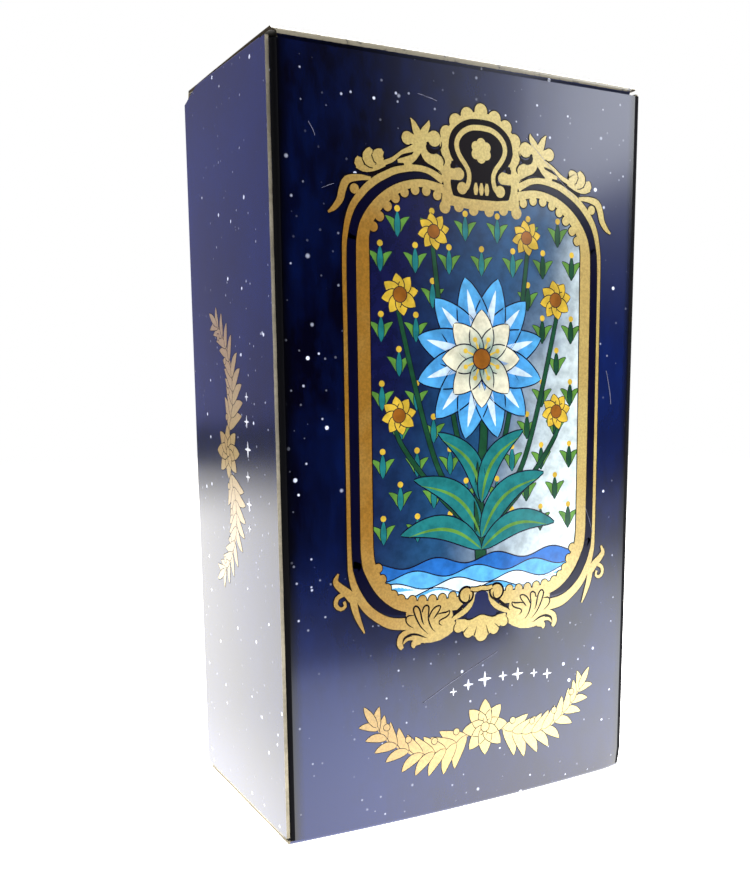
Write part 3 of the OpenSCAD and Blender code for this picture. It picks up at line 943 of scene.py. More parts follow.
SCALLOPS = [
    (19.7, 98.1), (18.6, 99.7), (17.2, 101.3), (15.8, 102.6), (14.2, 103.6), (12.3, 104.1), (10.3, 104.1),
    (8.3, 103.6), (19.7, 44.5), (19, 42.6), (18.1, 41), (17, 39.8), (15.6, 38.95), (13.5, 38.55),
    (11.6, 38.4), (9.7, 38.3), (7.8, 38.3), (5.8, 38.4),
]
TAIL = [
    (20, 105.2, 0.5), (22, 105.2, 0.9), (24, 104.7, 1.2), (24.8, 103.2, 1.2), (25.2, 101.8, 1.1),
    (26.2, 100.5, 0.8), (27.2, 99.8, 0.3),
]
TAIL_BALL = (22.8, 103.5, 0.75)
HOOK = [(26.6, 44.2, 0.3), (27.1, 43, 0.9), (26.4, 42, 1.2), (25.2, 41, 1.4), (24.2, 39.9, 1.6)]
SPIRAL = [
    (24.6, 40.6, 0.5), (25.7, 40.8, 0.7), (26.9, 40.2, 0.7), (27.1, 39.1, 0.7), (26.3, 38.4, 0.6),
    (25.5, 38.8, 0.5), (25.7, 39.6, 0.5),
]
FOOT_TAIL = [(24.2, 40.2, 1.3), (23.8, 38, 1.1), (23.1, 36, 0.8), (22.2, 34, 0.2)]

# Palmette and sprout on each shoulder of the frame
PALMETTE_BASE = [
    [(21.4, 106.9, 1.6), (21.9, 107.5, 1.7), (21.8, 108.2, 0.8)],
    [(22.3, 107, 0.9), (21.2, 106.6, 1), (20, 106.6, 0.8), (18.8, 107, 0.8), (17.6, 107.6, 0.8)],
]
PALMETTE_LOBES = [
    [(19.3, 107.2, 0.9), (20.05, 107.8, 2), (20.2, 108.6, 2.2), (19.7, 109.5, 1.1)],
    [(17.9, 107.9, 0.9), (18.6, 108.3, 1.8), (18.6, 108.9, 1.9), (17.9, 109.5, 0.6)],
]
STEM = [(15.6, 108.75, 0.6), (16.4, 108.25, 0.65), (17.4, 107.85, 0.7), (18.2, 107.6, 0.5), (19, 107.4, 0.3)]
SPROUT = [
    [
        (11.2, 111.8, 1.3), (11.75, 112.7, 1.35), (12.15, 113.5, 1.1), (12.45, 114.15, 0.75),
        (12.95, 114.8, 0.1),
    ],
    [(11, 111.8, 1.3), (10.6, 112.9, 1.3), (10.15, 113.6, 1.05), (9.8, 114.2, 0.7), (9.65, 114.8, 0.1)],
    [(13.3, 111.8, 1.7), (12.2, 111.6, 1.4), (11.4, 111.2, 1.6)],
    [(11.3, 112.3, 1.5), (11.2, 111, 2.2), (11.1, 110, 1.6)],
    [(8.75, 112.5, 1.6), (9.8, 112.3, 1.2), (11, 111.7, 1.2)],
    [(10.9, 110.2, 1.4), (10, 109.3, 1.6), (8.8, 108.9, 2.2), (7.7, 108.3, 2.2), (6.9, 107.4, 1.6)],
    [(11.5, 110.2, 1.4), (12, 109.3, 1.3), (12.9, 108.4, 1.1), (14.2, 107.8, 1)],
    [
        (11.8, 110.6, 1.3), (13.2, 110.1, 0.9), (14.4, 109.6, 0.65), (15.3, 109, 0.6), (16.2, 108.3, 0.65),
        (17.4, 107.8, 0.7), (18.6, 107.4, 0.7),
    ],
    [(12.6, 108.9, 1), (14, 108.45, 0.9), (15.3, 108.2, 0.55)],
]
SPROUT_BALLS = [(13.55, 111.8, 1), (8.75, 112.15, 1.2)]
SPROUT_CUTS = [
    [
        (9.75, 111.5, 0.3), (9.95, 110.9, 0.7), (9.6, 110.35, 0.85), (8.9, 110.15, 0.75), (8.1, 110.4, 0.5),
        (7.5, 111, 0.25), (7.4, 111.8, 0.1),
    ],
    [(7.65, 110.35, 0.1), (7.45, 109.75, 0.3), (7.05, 109.2, 0.32), (6.95, 108.7, 0.3), (7.15, 108.2, 0.1)],
    [(15.35, 108.45, 0.05), (14.6, 108.95, 0.45), (13.6, 109.3, 0.45), (12.6, 109.55, 0.05)],
    [(14.4, 107.95, 0.1), (16, 107.5, 0.35), (17.5, 106.95, 0.4), (19, 106.2, 0.45), (20.2, 105.75, 0.5)],
]
WEDGE_TOP = [
    (12.85, 107.98), (12, 108.7), (11.2, 109.75), (10.95, 109.2), (10.3, 108.45), (9, 107.95), (7.8, 107.35),
    (7.4, 106.85),
]
WEDGE_FOOT = [
    (12.85, 107.93), (12, 108.02), (11.2, 108.1), (10.95, 108.1), (10.3, 108.05), (9, 107.75), (7.8, 107.15),
    (7.4, 106.8),
]

# Crest in the middle of the frame's top
CREST_LOBES = [(0, 117.25, 1.2), (2.6, 116.4, 1.2), (4.75, 115.2, 1.2), (6.45, 113.2, 1.2)]
CREST_BODY = [
    [(0, 116.5, 1.3), (2.3, 116.1, 1.3), (4.3, 115.1, 1.3), (5.8, 113.6, 1.3), (6.5, 112.2, 1.5)],
    [
        (6.7, 112.5, 1.6), (6.95, 111.2, 1.5), (6.6, 110, 1.5), (6.4, 109, 1.5), (6.7, 108, 1.7),
        (6.6, 107, 1.8), (6.5, 106, 1.4), (6.35, 105, 1.35), (6.2, 104.2, 1.4), (6.2, 103.2, 2),
    ],
    [(6.4, 110, 1), (5.9, 109.4, 0.8), (5.3, 109.2, 0.1)],
    [(6.6, 107.1, 1.7), (5.4, 107.1, 1.75), (4.3, 107.2, 1.9)],
]
CREST_KNOB = (4.25, 107.2, 0.97)
CREST_CUTS = [
    [
        (0, 115.55, 0.95), (2.1, 115.35, 0.95), (3.8, 114.6, 0.95), (5, 113.5, 1), (5.55, 112.2, 1.05),
        (5.5, 111, 1.1), (5.1, 110, 1.15), (4.4, 109.1, 1), (3.6, 108.3, 0.7), (3, 107.5, 0.5),
        (2.95, 106.5, 0.5),
    ],
    [(5, 108.9, 0.5), (5.35, 108.35, 1.1), (5.4, 107.95, 0.6)],
]
CREST_HOLLOW = [
    (0.5, 115.3), (2.6, 114.7), (4, 113.6), (4.7, 112.2), (4.6, 111), (4.1, 109.8), (3.3, 108.7), (3, 107.6),
    (3, 106.5), (3.6, 106.15), (5.85, 106), (5.75, 105), (5.5, 104.2), (4.9, 103.7), (3, 103.2),
]
OMEGA = [
    (0, 114.7, 0.85), (1.9, 114.5, 0.85), (3.4, 113.75, 0.85), (4.35, 112.7, 0.85), (4.65, 111.6, 0.85),
    (4.35, 110.5, 0.8), (3.6, 109.4, 0.8), (2.85, 108.5, 0.8), (2.35, 107.5, 0.8), (2.35, 106.4, 0.8),
    (2.7, 105.4, 0.85), (3.3, 104.85, 0.9),
]
OMEGA_BALL = (3.65, 105.05, 0.95)
PLATE_TOP = [(7.2, 105), (5.9, 104.3), (5.2, 103.75), (3, 103.5), (0, 103.45)]
PLATE_FOOT = [(7.6, 102), (6, 102.2), (5, 102.2), (2.4, 101.9), (0, 101.8)]
PLATE_LOBES = [(6.9, 101.9, 1), (4.3, 102.2, 0.9), (1.5, 101.8, 0.9)]
CREST_BARS = (-1.05, 0, 1.05)
ROSE_AT = (0, 111.15)
ROSE_R = 1.12
ROSE_PETAL_R = 0.85

# Acanthus, shell and bell in the middle of the frame's foot
ACANTHUS_TOP = [
    (14.7, 36.6), (13.6, 36.8), (12, 37.2), (10, 37.2), (8.2, 37), (6.7, 36.6), (5.9, 36), (5.6, 34.6),
]
ACANTHUS_FOOT = [
    (14.5, 33.6), (13.6, 32.4), (12, 31.1), (10, 30.9), (8.2, 31.1), (6.7, 31.7), (5.6, 32.4), (5.2, 33.5),
]
ACANTHUS_CURLS = [
    [
        (13.2, 33.3, 1), (14.6, 33.2, 0.9), (15.6, 32.6, 1), (15.9, 31.7, 1), (15.75, 31, 0.95),
        (15.4, 30.5, 0.6),
    ],
    [(11, 31.5, 1.2), (12.6, 31.8, 0.8), (13.8, 32.1, 0.6), (14.7, 31.9, 0.5), (15.2, 31.3, 0.2)],
    [(12, 31.4, 1), (13, 31.3, 1.2), (13.3, 30.8, 0.9), (13.2, 30.4, 0.3)],
]
ACANTHUS_CUTS = [
    [
        (13.2, 35.95, 0.1), (14.2, 36, 0.28), (14.7, 35.6, 0.3), (14.6, 34.9, 0.26), (14.1, 34.3, 0.2),
        (13.3, 33.8, 0.06),
    ],
    [
        (10.6, 32.5, 0.06), (11.8, 33.7, 0.22), (12.6, 35, 0.28), (13.1, 36.2, 0.3), (13.3, 37, 0.3),
        (12.95, 37.5, 0.3), (12.4, 37.25, 0.3), (12, 36.5, 0.3), (11.8, 35.5, 0.32), (11.6, 34.7, 0.25),
        (11.3, 34.1, 0.06),
    ],
    [
        (11.65, 36.3, 0.25), (11.4, 37.1, 0.28), (10.8, 37.42, 0.3), (10.4, 37.1, 0.3), (10.4, 36.3, 0.28),
        (10.5, 35.3, 0.28), (10.3, 34.3, 0.28), (9.8, 33.3, 0.2), (9.2, 32.7, 0.06),
    ],
    [
        (10.35, 35.3, 0.2), (10.1, 35.9, 0.25), (9.6, 36.6, 0.28), (8.9, 37.03, 0.28), (8.25, 37.05, 0.26),
        (8.15, 36.7, 0.26), (8.6, 36, 0.26), (9.1, 35.4, 0.26), (9.5, 34.9, 0.06),
    ],
    [(8.8, 35.6, 0.1), (8.1, 35.75, 0.26), (7.1, 35.8, 0.3), (6.35, 36.05, 0.2)],
    [
        (6.35, 36, 0.2), (6.5, 35.4, 0.28), (7.1, 34.95, 0.28), (7.9, 34.7, 0.26), (8.4, 34.4, 0.24),
        (8.35, 33.9, 0.2), (7.8, 33.6, 0.06),
    ],
    [
        (15.4, 31.3, 0.06), (14.9, 32.3, 0.3), (13.9, 32.75, 0.38), (12.6, 32.6, 0.36), (11.5, 32.1, 0.2),
        (10.8, 31.85, 0.05),
    ],
    [(6, 34.6, 0.1), (5.2, 35.4, 0.5), (4.4, 36, 0.55), (3.7, 36.6, 0.5)],
]
BELL_HOLLOW = [
    (0.7, 38.75), (1.25, 38.3), (1.35, 38), (1.5, 37), (2, 36), (2.7, 35.2), (3.05, 34.7), (3, 33.8),
]
BELL_EDGE = [
    (1.9, 39, 0.7), (1.75, 38.2, 0.75), (1.85, 37.4, 0.75), (2.3, 36.5, 0.85), (3.1, 35.75, 0.95),
    (4.2, 35.1, 0.9), (5.4, 34.6, 0.7), (6, 34.2, 0.5),
]
BELL_BALL = (3.1, 38.35, 1.2)
BELL_CURL = [(4.1, 37.35, 0.2), (3.2, 37, 0.26), (2.6, 37.3, 0.26), (2.4, 37.9, 0.26), (2.45, 38.4, 0.08)]
BELL_BAR = [(2.2, 39.3, 0.5), (1.2, 39.1, 0.7), (0, 39.25, 0.7)]
SHELL_TOP = [(5, 34.3), (3.2, 34.1), (2.4, 33.95), (1.4, 34.2), (0.6, 34.5), (0, 34.6)]
SHELL_FOOT = [(5.4, 33.2), (4, 32.2), (2.6, 31.4), (1.6, 31), (0.8, 30.5), (0, 30.4)]
SHELL_LOBES = [(4.6, 32.9, 0.95), (2.6, 31.8, 1), (0, 31.1, 1.25)]
SHELL_CUTS = [
    [(5.6, 32.3, 0.2), (5.5, 33.2, 0.22), (5, 33.8, 0.06)],
    [(3.6, 31.9, 0.2), (3.2, 32.3, 0.18), (2.7, 32.7, 0.06)],
    [(1.5, 31, 0.25), (1.2, 31.8, 0.2), (1, 32.6, 0.06)],
    [
        (4.1, 34.75, 0.1), (3.2, 34.2, 0.25), (2.4, 33.97, 0.28), (1.4, 34.2, 0.2), (0.6, 34.5, 0.18),
        (0, 34.6, 0.16),
    ],
]


def draw_frame(art):
    scallops = [(*place, SCALLOP_R) for place in SCALLOPS]
    borders = [OUTER_LINE, BAND, TAIL, HOOK, SPIRAL, FOOT_TAIL]
    lines = [*borders, *PALMETTE_BASE, *SPROUT, *CREST_BODY[:2], *ACANTHUS_CURLS]
    balls = [*scallops, TAIL_BALL, *SPROUT_BALLS, *CREST_LOBES, *SHELL_LOBES]
    art.twin_strokes([GAP], DEEP_I)
    for ink, rim in ((NIGHT_I, RIM), (GOLD_I, 0.0)):
        art.twin_strokes(lines, ink, rim=rim)
        art.twin_discs(balls, ink, rim=rim)
    art.twin_strokes(PALMETTE_LOBES, outline=CUT_W)
    art.twin_strokes([STEM])
    draw_crest(art)
    draw_foot(art)


def draw_crest(art):
    art.twin_strokes(CREST_BODY)
    art.twin_discs([*SPROUT_BALLS, CREST_KNOB])
    art.twin_strokes(SPROUT_CUTS, NIGHT_I)
    art.twin_strips(WEDGE_TOP, WEDGE_FOOT, NIGHT_I)
    art.strip(flip(CREST_HOLLOW, -1), CREST_HOLLOW, NIGHT_I)
    art.twin_discs([CREST_KNOB])
    art.twin_strokes(CREST_CUTS, NIGHT_I)
    art.twin_strips(PLATE_TOP, PLATE_FOOT)
    art.twin_discs(PLATE_LOBES)
    art.twin_strokes([OMEGA])
    art.twin_discs([OMEGA_BALL])
    for u in CREST_BARS:
        art.stroke([(u, 104.2, 0.45), (u, 105.1, 0.9), (u, 106.1, 0.35)])
    for place in ring(ROSE_AT, (ROSE_R, ROSE_R), 6, math.pi / 6):
        art.disc(place, ROSE_PETAL_R)
    art.disc(ROSE_AT, ROSE_R)


def draw_foot(art):
    art.twin_strips(ACANTHUS_TOP, ACANTHUS_FOOT)
    art.twin_strokes(ACANTHUS_CURLS)
    art.twin_strokes(ACANTHUS_CUTS, NIGHT_I)
    art.strip(flip(BELL_HOLLOW, -1), BELL_HOLLOW, BLUE_I)
    art.twin_strips(SHELL_TOP, SHELL_FOOT)
    art.twin_discs(SHELL_LOBES)
    art.twin_strokes([BELL_EDGE])
    art.twin_strokes(SHELL_CUTS, NIGHT_I)
    art.twin_discs([BELL_BALL], outline=1.4 * OUTLINE)
    art.twin_strokes([BELL_CURL], NIGHT_I)
    art.twin_strokes([BELL_BAR], outline=CUT_W)


# Picture in the frame: a tall lily over water, in night blue, teal, green, gold and white

DUSK = (0.004, 0.005, 0.035, 1)
DEEP = (0.01, 0.05, 0.12, 1)
MIST = (0.55, 0.62, 0.60, 1)
BLUE = (0.01, 0.10, 0.34, 1)
SKY = (0.07, 0.30, 0.55, 1)
PALE = (0.55, 0.66, 0.70, 1)
TEAL = (0.01, 0.13, 0.13, 1)
LEAF_DARK = (0.008, 0.05, 0.02, 1)
LEAF_LIGHT = (0.08, 0.20, 0.03, 1)
YELLOW = (0.50, 0.33, 0.03, 1)
CREAM = (0.62, 0.58, 0.42, 1)
AMBER = (0.22, 0.075, 0.008, 1)

# Heights of the frame's opening, with its half width there
OPENING = [
    (37.0, 4.0), (38.0, 12.5), (39.4, 17.2), (41.2, 19.2), (44, 20.7), (47, 21.4), (93, 21.4), (97, 21.1),
    (99.5, 20.0), (102, 17.8), (103.8, 15.0), (104.8, 11.5), (105.2, 7.5),
]
GROUND_ROWS = 56
GROUND_COLUMNS = 40
LILY_AT = (0, 78)
LILY_R = (12.5, 13.5)
HEART_R = (7.6, 8.0)
STAMEN_R = (3.4, 3.4)
STEM_PATH = [(0, 42, 2.2), (-0.5, 55, 1.7), (0.4, 66, 1.4), (0, 76, 1.2)]

# Height where a stem bends, and place and radius of its blossom
BLOSSOMS = ((56, (15.6, 69), 3.1), (60, (15.2, 88), 3.3), (66, (9.0, 98), 2.9))

# Height where a large leaf starts, its tip and its width
LEAVES = ((48, (13.0, 58.5), 4.2), (46, (15.5, 49.5), 4.0), (54, (8.5, 66.0), 3.4))

# Height and colour of each wave
WAVES = ((44.5, BLUE), (42.6, SKY), (40.8, PALE), (39.4, SKY), (38.2, CREAM))
WAVE_STEP = 0.001


def shade(a, b, t):
    return tuple(mix(p, q, ease(t)) for p, q in zip(a, b))


def half_opening(v):
    for (v0, w0), (v1, w1) in zip(OPENING, OPENING[1:]):
        if v0 <= v <= v1:
            return mix(w0, w1, (v - v0) / (v1 - v0))
    return OPENING[-1][1]


def sky(u, v):
    """Ground of the picture: night at the upper left, mist at the lower right."""
    slant = (u - 0.30 * (v - 70)) / 21 + 0.18 * noise.noise(Vector((u / 9, v / 14, 2.0)))
    return shade(DUSK, DEEP, slant + 1.0) if slant < 0 else shade(DEEP, MIST, slant / 1.15)


def petal_tint(base, tip, length):
    """Colour of the lily's petals, from its middle outwards."""
    return lambda u, v: shade(base, tip, math.dist((u, v), LILY_AT) / length)


def draw_blossom(art, centre, radius):
    for tip in ring(centre, (radius, radius), 8, 0.2):
        art.leaf(centre, tip, 0.62 * radius, tint=YELLOW, outline=0.16, steps=8)
    art.disc(centre, 0.36 * radius, tint=AMBER, outline=0.12, steps=8)


def draw_lily(art):
    at = LILY_AT
    for tip in ring(at, LILY_R, 12, math.pi / 12):
        art.leaf(at, tip, 6.0, tint=petal_tint(BLUE, SKY, 13.5), outline=0.25, steps=16)
        inner = (mix(at[0], tip[0], 0.86), mix(at[1], tip[1], 0.86))
        art.leaf(at, inner, 1.6, tint=petal_tint(BLUE, PALE, 11.0))
    for tip in ring(at, HEART_R, 8):
        art.leaf(at, tip, 4.6, tint=petal_tint(TEAL, CREAM, 7.0), outline=0.22, steps=14)
    for end in ring(at, STAMEN_R, 8, math.pi / 8):
        art.leaf(at, end, 0.4, tint=YELLOW, steps=6)
        art.disc(end, 0.42, tint=YELLOW, steps=8)
    art.disc(at, 1.6, tint=AMBER, outline=0.2)


def draw_ground(art):
    """Ground of the picture in level rows, all at one height over the panel."""
    ground = art.lift
    rows = [mix(OPENING[0][0], OPENING[-1][0], k / GROUND_ROWS) for k in range(GROUND_ROWS + 1)]
    shares = [2 * k / GROUND_COLUMNS - 1 for k in range(GROUND_COLUMNS + 1)]
    for low, high in zip(rows, rows[1:]):
        art.lift = ground
        art.strip(*[[(share * half_opening(v), v) for share in shares] for v in (low, high)], tint=sky)


def draw_buds(art):
    """Small buds in staggered rows behind the lily."""
    ground = art.lift
    for row in range(10):
        for column in range(-3, 4):
            u = 6.2 * column + (3.1 if row % 2 else 0)
            v = 50 + 5.4 * row
            if abs(u) > half_opening(v) - 2.4 or math.dist((u, v), LILY_AT) < 12.5:
                continue
            art.lift = ground
            for turn in (-1, 1):
                tip = (u + 2.1 * turn, v + 1.3)
                art.leaf((u, v - 1.6), tip, 1.1, tint=LEAF_LIGHT, bow=0.15 * turn, outline=0.12, steps=8)
            tint = LEAF_DARK if u > 8 else TEAL
            art.leaf((u, v - 1.8), (u, v + 2.2), 1.0, tint=tint, outline=0.12, steps=8)
            art.disc((u, v + 2.5), 0.5, tint=YELLOW, steps=8)


def draw_blossoms(art, sign):
    for bend, (u, v), _ in BLOSSOMS:
        path = [(0, bend - 8, 0.9), (0.55 * u, bend, 0.8), (u, v - 4, 0.7), (u, v, 0.4)]
        art.stroke(flip(path, sign), tint=LEAF_DARK, outline=0.14)
    for _, (u, v), radius in BLOSSOMS:
        draw_blossom(art, (sign * u, v), radius)


def draw_water(art):
    """Rows of low waves across the picture's foot."""
    for row, (low, colour) in enumerate(WAVES):
        half = half_opening(low - 0.6)
        places = [mix(-half, half, k / 60) for k in range(61)]
        crest = [(u, low + 0.7 * math.sin(u / 1.9 + 2.1 * row)) for u in places]
        line = [(u, v + 0.22) for u, v in crest]
        base = [(u * half_opening(max(37.2, low - 2.4)) / half, max(37.0, low - 2.4)) for u in places]
        for edge, tint in ((line, INK_LINE), (crest, colour)):
            art.lift += WAVE_STEP
            art.strip(base, edge, tint=tint)


def draw_picture(art):
    draw_ground(art)
    draw_buds(art)
    art.twice(lambda sign: draw_blossoms(art, sign))
    art.stroke(STEM_PATH, tint=LEAF_DARK, outline=0.2)
    for sign in (-1, 1):
        for base, (u, v), width in LEAVES:
            art.leaf((0, base), (sign * u, v), width, tint=TEAL, bow=0.16 * sign, outline=0.22, steps=16)
            inner = (sign * 0.9 * u, mix(base, v, 0.9))
            art.leaf((0, base), inner, 0.6, tint=LEAF_LIGHT, bow=0.16 * sign)
    draw_lily(art)
    draw_water(art)


# Garlands and small stars of the front, sides and back

GARLAND = [(2.8, -0.4, 0.5), (8.0, -2.4, 0.8), (13.6, -2.2, 0.7), (18.8, 0.6, 0.5), (21.8, 4.0, 0.3)]
GARLAND_LEAVES = 9
LEAF_SPREAD = math.radians(40)

ROSETTE_R = 4.6

# Rings of the rosette: radius, petal width and starting angle
ROSETTE = ((ROSETTE_R, 2.6, 0.0), (0.62 * ROSETTE_R, 1.6, math.pi / 8))

# Garland's middle on each panel, and small stars as (u, v, size)
FRONT_MIDDLE = (2.3, 14.2)
SIDE_MIDDLE = (1.6, 62.5)
BACK_MIDDLE = (0, 62.5)
FRONT_SPARKS = [
    (-4.2, 21.6, 0.7), (-1.2, 22.4, 1.0), (2.2, 22.9, 1.4), (6.0, 22.9, 0.9), (9.2, 22.8, 1.2),
    (12.8, 22.4, 0.8), (15.8, 21.8, 1.0),
]
SIDE_SPARKS = [
    (-8.0, 72, 0.7), (-7.8, 68, 1.0), (-8.0, 63.5, 1.3), (-7.7, 59, 0.9), (-7.9, 54.5, 1.1),
    (-7.8, 50.5, 0.7),
]
BACK_SPARKS = [(u, BACK_MIDDLE[1] + v, 1.1) for u in (-12, 12) for v in (-12, 12)]


def upright_garland(middle):
    return lambda u, v: (middle[0] + u, middle[1] + 1.1 * v)


def turned_garland(middle):
    return lambda u, v: (middle[0] + 1.2 * v, middle[1] - u)


def add_garland(name, panel, place, sparks):
    """A mirrored laurel with a rosette, and small stars; place turns its own coordinates into the panel's."""
    art = Artwork(name, panel)
    for sign in (-1, 1):
        path = flip(curve(GARLAND), sign)
        art.stroke([(*place(u, v), width) for u, v, width in flip(GARLAND, sign)])
        for k in range(GARLAND_LEAVES):
            at = int((k + 0.6) / GARLAND_LEAVES * (len(path) - 2))
            u, v, _ = path[at]
            heading = math.atan2(path[at + 1][1] - v, path[at + 1][0] - u)
            length = mix(5.6, 3.4, k / GARLAND_LEAVES)
            for side in (-1, 1):
                angle = heading + side * LEAF_SPREAD
                tip = (u + length * math.cos(angle), v + length * math.sin(angle))
                art.leaf(place(u, v), place(*tip), 0.36 * length, bow=-0.1 * side, outline=0.12)
            if k % 2:
                art.disc(place(u, v + 1.9), 0.55, outline=0.12)
        tip = path[-1]
        art.leaf(place(*path[-3][:2]), place(tip[0] + sign * 1.6, tip[1] + 2.6), 1.3, outline=0.12)
    for radius, width, start in ROSETTE:
        for end in ring((0, 0), (radius, radius), 8, start):
            art.leaf(place(0, 0), place(*end), width, outline=0.14)
    art.disc(place(0, 0), 0.8, outline=0.14)
    for u, v, size in sparks:
        art.leaf((u - size, v), (u + size, v), 0.36 * size, WHITE_I, steps=8)
        art.leaf((u, v - size), (u, v + size), 0.36 * size, WHITE_I, steps=8)
    art.finish()


SCRATCH_W = 0.05
SCRATCHES = [
    [(10.3, 114.0), (13.8, 111.0), (18.3, 107.0), (21.3, 104.6)],
    [(-28.7, 112.5), (-28.0, 111.4), (-27.7, 110.6)],
    [(-26.8, 103.2), (-25.6, 103.7), (-24.8, 104.0)],
    [(4.8, 27.5), (-0.2, 25.4), (-6.2, 22.6), (-10.2, 20.5)],
    [(23.8, 52.0), (25.0, 49.2), (25.8, 46.8)],
    [(-10.2, 118.6), (-8.0, 118.2), (-6.8, 117.9)],
    [(28.3, 76.0), (29.2, 72.5), (29.6, 70.0)],
]

picture = Artwork("front_picture", in_frame, (PICTURE,))
draw_picture(picture)
picture.finish()

front_frame = Artwork("front_frame", in_frame, lift=picture.lift + INK_LIFT)
draw_frame(front_frame)
front_frame.finish()

add_garland("front_garland", on_front, upright_garland(FRONT_MIDDLE), FRONT_SPARKS)
add_garland("left_garland", on_left, turned_garland(SIDE_MIDDLE), SIDE_SPARKS)
add_garland("right_garland", on_right, turned_garland(SIDE_MIDDLE), SIDE_SPARKS)
add_garland("back_garland", on_back, upright_garland(BACK_MIDDLE), BACK_SPARKS)

scratches = Artwork("front_scratches", on_front, (SCRATCH,), front_frame.lift + INK_LIFT)
for scratch in SCRATCHES:
    last = len(scratch) - 1
    scratches.stroke([(*point, SCRATCH_W * min(1, k, last - k)) for k, point in enumerate(scratch)])
scratches.finish()


# Camera, fitted to the photograph's 750 x 877 frame

FRAME_W, FRAME_H = 750, 877
FOCAL = 1041.21
CENTRE = (427.38, 536.43)
SENSOR = 36.0
CAMERA_AT = Vector((-93.51, -169.29, 76.54)) * MM
YAW = math.radians(29.7239)
PITCH = math.radians(-9.1901)
ROLL = math.radians(-0.0958)


def add_camera():
    data = bpy.data.cameras.new("camera")
    data.sensor_width = SENSOR
    data.lens = FOCAL / FRAME_H * SENSOR
    data.shift_x = (FRAME_W / 2 - CENTRE[0]) / FRAME_H
    data.shift_y = (CENTRE[1] - FRAME_H / 2) / FRAME_H
    data.clip_start = 0.01
    forward = Vector((math.sin(YAW) * math.cos(PITCH), math.cos(YAW) * math.cos(PITCH), math.sin(PITCH)))
    level = Vector((math.cos(YAW), -math.sin(YAW), 0))
    upward = level.cross(forward)
    right = level * math.cos(ROLL) + upward * math.sin(ROLL)
    up = upward * math.cos(ROLL) - level * math.sin(ROLL)
    camera = bpy.data.objects.new("camera", data)
    camera.matrix_world = Matrix.Translation(CAMERA_AT) @ Matrix((right, up, -forward)).transposed().to_4x4()
    bpy.context.scene.collection.objects.link(camera)
    bpy.context.scene.camera = camera


# Stage: a glowing floor, a white surround that only the camera sees, a graded flag in front, a wall behind
# and a ceiling panel that only reflections show, and soft lights

FLOOR_R = 0.58
FLOOR_AT = (0.10, 0.14)
WARM = (1.0, 0.985, 0.955, 1)
COOL = (0.95, 0.98, 1.06, 1)
WHITE = (1, 1, 1, 1)
SURROUND_R = 4.0

# Pools of light on the floor: centre, two distances from it, and the glow at each
FLOOR_POOLS = (
    ((-0.05, 0.17, 0.0), 0.17, 0.42, 3.6, 1.3),
    ((0.08, -0.01, 0.0), 0.0, 0.155, 5.0, 0.0),
    ((0.15, -0.14, 0.0), 0.0, 0.13, 3.5, 0.0),
)
FLAG_COLOUR = (0.90, 0.93, 1.0, 1)
FLAG = [(-0.50, -0.112, 0.001), (0.075, -0.112, 0.001), (0.085, -0.112, 0.42), (-0.50, -0.112, 0.42)]
WALL_COLOUR = (0.37, 0.375, 0.74, 1)
WALL = [(-1.6, 1.0, 0.0), (0.4, 1.4, 0.0), (0.4, 1.4, 1.2), (-1.6, 1.0, 1.2)]
CEILING = [(0.10, -0.20, 0.60), (0.10, 0.40, 0.60), (0.55, 0.40, 0.50), (0.55, -0.20, 0.50)]

# Lights: name, place, aim, sides, power and colour
LIGHTS = (
    ("key", (0.12, -0.14, 0.55), (0.03, -0.04, 0.0), (0.34, 0.34), 3.2, (1, 1, 1)),
    ("fill", (-0.34, 0.24, 0.66), (-0.1, 0.15, 0.0), (0.5, 0.5), 2.4, (1, 1, 1)),
    ("window", (0.54, -0.50, 0.41), (0.0, 0.0, 0.08), (0.30, 0.36), 2.5, (0.93, 0.96, 1.0)),
)
ROOM_COLOUR = (0.40, 0.42, 0.50, 1)
ROOM_LIGHT = 0.2


class Glow(Shader):
    """A glowing material of the stage."""

    def __init__(self, name, colour=WHITE, strength=1.0):
        super().__init__(name)
        self.tree.nodes.clear()
        self.surface = self.put("ShaderNodeEmission", {"Color": colour, "Strength": strength})
        self.put("ShaderNodeOutputMaterial", {"Surface": self.surface.outputs[0]})


def add_light(name, place, aim, sides, power, colour):
    data = bpy.data.lights.new(name, "AREA")
    data.shape = "RECTANGLE"
    data.size, data.size_y = sides
    data.energy = power
    data.color = colour
    light = bpy.data.objects.new(name, data)
    light.location = place
    light.rotation_euler = (Vector(aim) - Vector(place)).to_track_quat("-Z", "Y").to_euler()
    bpy.context.scene.collection.objects.link(light)


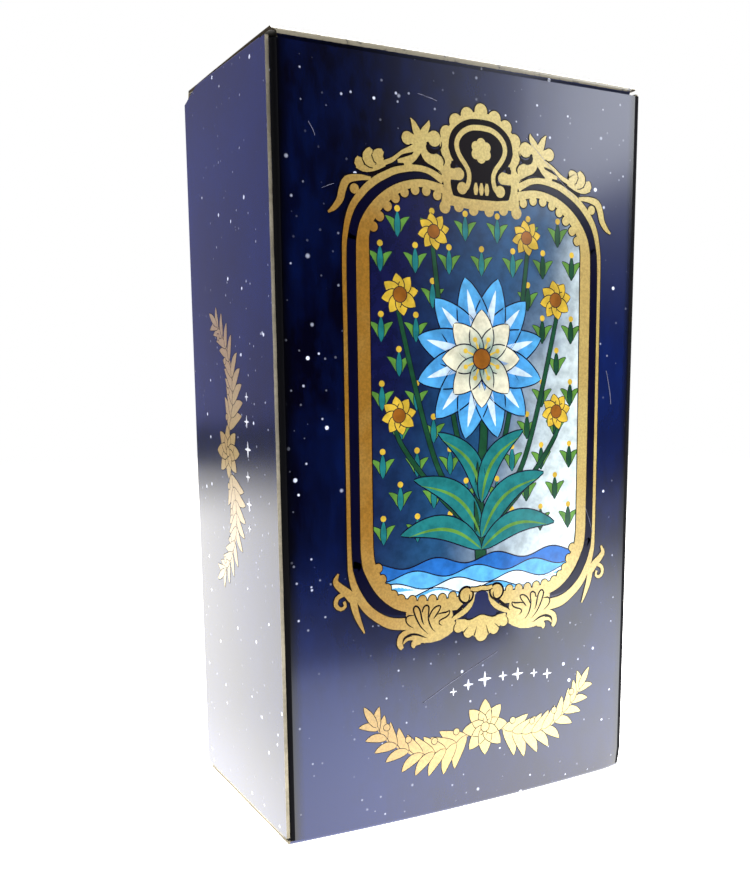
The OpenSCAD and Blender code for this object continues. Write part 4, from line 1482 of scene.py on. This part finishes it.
def only_seen_by(thing, ray):
    """Hides a stage object from all rays but one kind."""
    for kind in ("camera", "diffuse", "glossy", "transmission", "volume_scatter", "shadow"):
        setattr(thing, "visible_" + kind, kind == ray)


def flat_stage(name, corners, look):
    mesh = bpy.data.meshes.new(name)
    mesh.from_pydata(corners, [], [tuple(range(len(corners)))])
    mesh.materials.append(look.material)
    thing = bpy.data.objects.new(name, mesh)
    bpy.context.scene.collection.objects.link(thing)
    return thing


def floor_glow():
    look = Glow("floor")
    total = 0.0
    for centre, *pool in FLOOR_POOLS:
        total = look.plus(total, look.ramp(look.vector("DISTANCE", centre)["Value"], *pool))
    look.feed("Strength", total)
    look.feed("Color", look.mixed(look.ramp(look.place["Y"], -0.07, 0.0), COOL, WARM))
    return look


def flag_glow():
    """Dark, but for a bright upper right that shows as the front's sheen, and a paler foot."""
    look = Glow("flag", FLAG_COLOUR)
    x, _, z = look.place
    sheen = look.times(look.ramp(x, 0.02, 0.10, 0.0, 2.2), look.ramp(z, 0.075, 0.13))
    look.feed("Strength", look.plus(sheen, look.ramp(z, 0.0, 0.03, 0.7, 0.0)))
    return look


def add_stage():
    edge = ring(FLOOR_AT, (FLOOR_R, FLOOR_R), 96)
    flat_stage("floor", [(x, y, 0) for x, y in edge], floor_glow())

    bm = bmesh.new()
    bmesh.ops.create_icosphere(bm, subdivisions=4, radius=SURROUND_R)
    surround = finish_mesh("surround", bm, (Glow("surround").material,))
    only_seen_by(surround, "camera")

    for name, corners, look in (
        ("flag", FLAG, flag_glow()),
        ("wall", WALL, Glow("wall", WALL_COLOUR, 0.95)),
        ("ceiling", CEILING, Glow("ceiling", WHITE, 13.0)),
    ):
        only_seen_by(flat_stage(name, corners, look), "glossy")
    for light in LIGHTS:
        add_light(*light)

    world = bpy.data.worlds.new("room")
    world.use_nodes = True
    background = world.node_tree.nodes["Background"]
    background.inputs["Color"].default_value = ROOM_COLOUR
    background.inputs["Strength"].default_value = ROOM_LIGHT
    bpy.context.scene.world = world
    bpy.context.scene.view_settings.view_transform = "Standard"


add_camera()
add_stage()
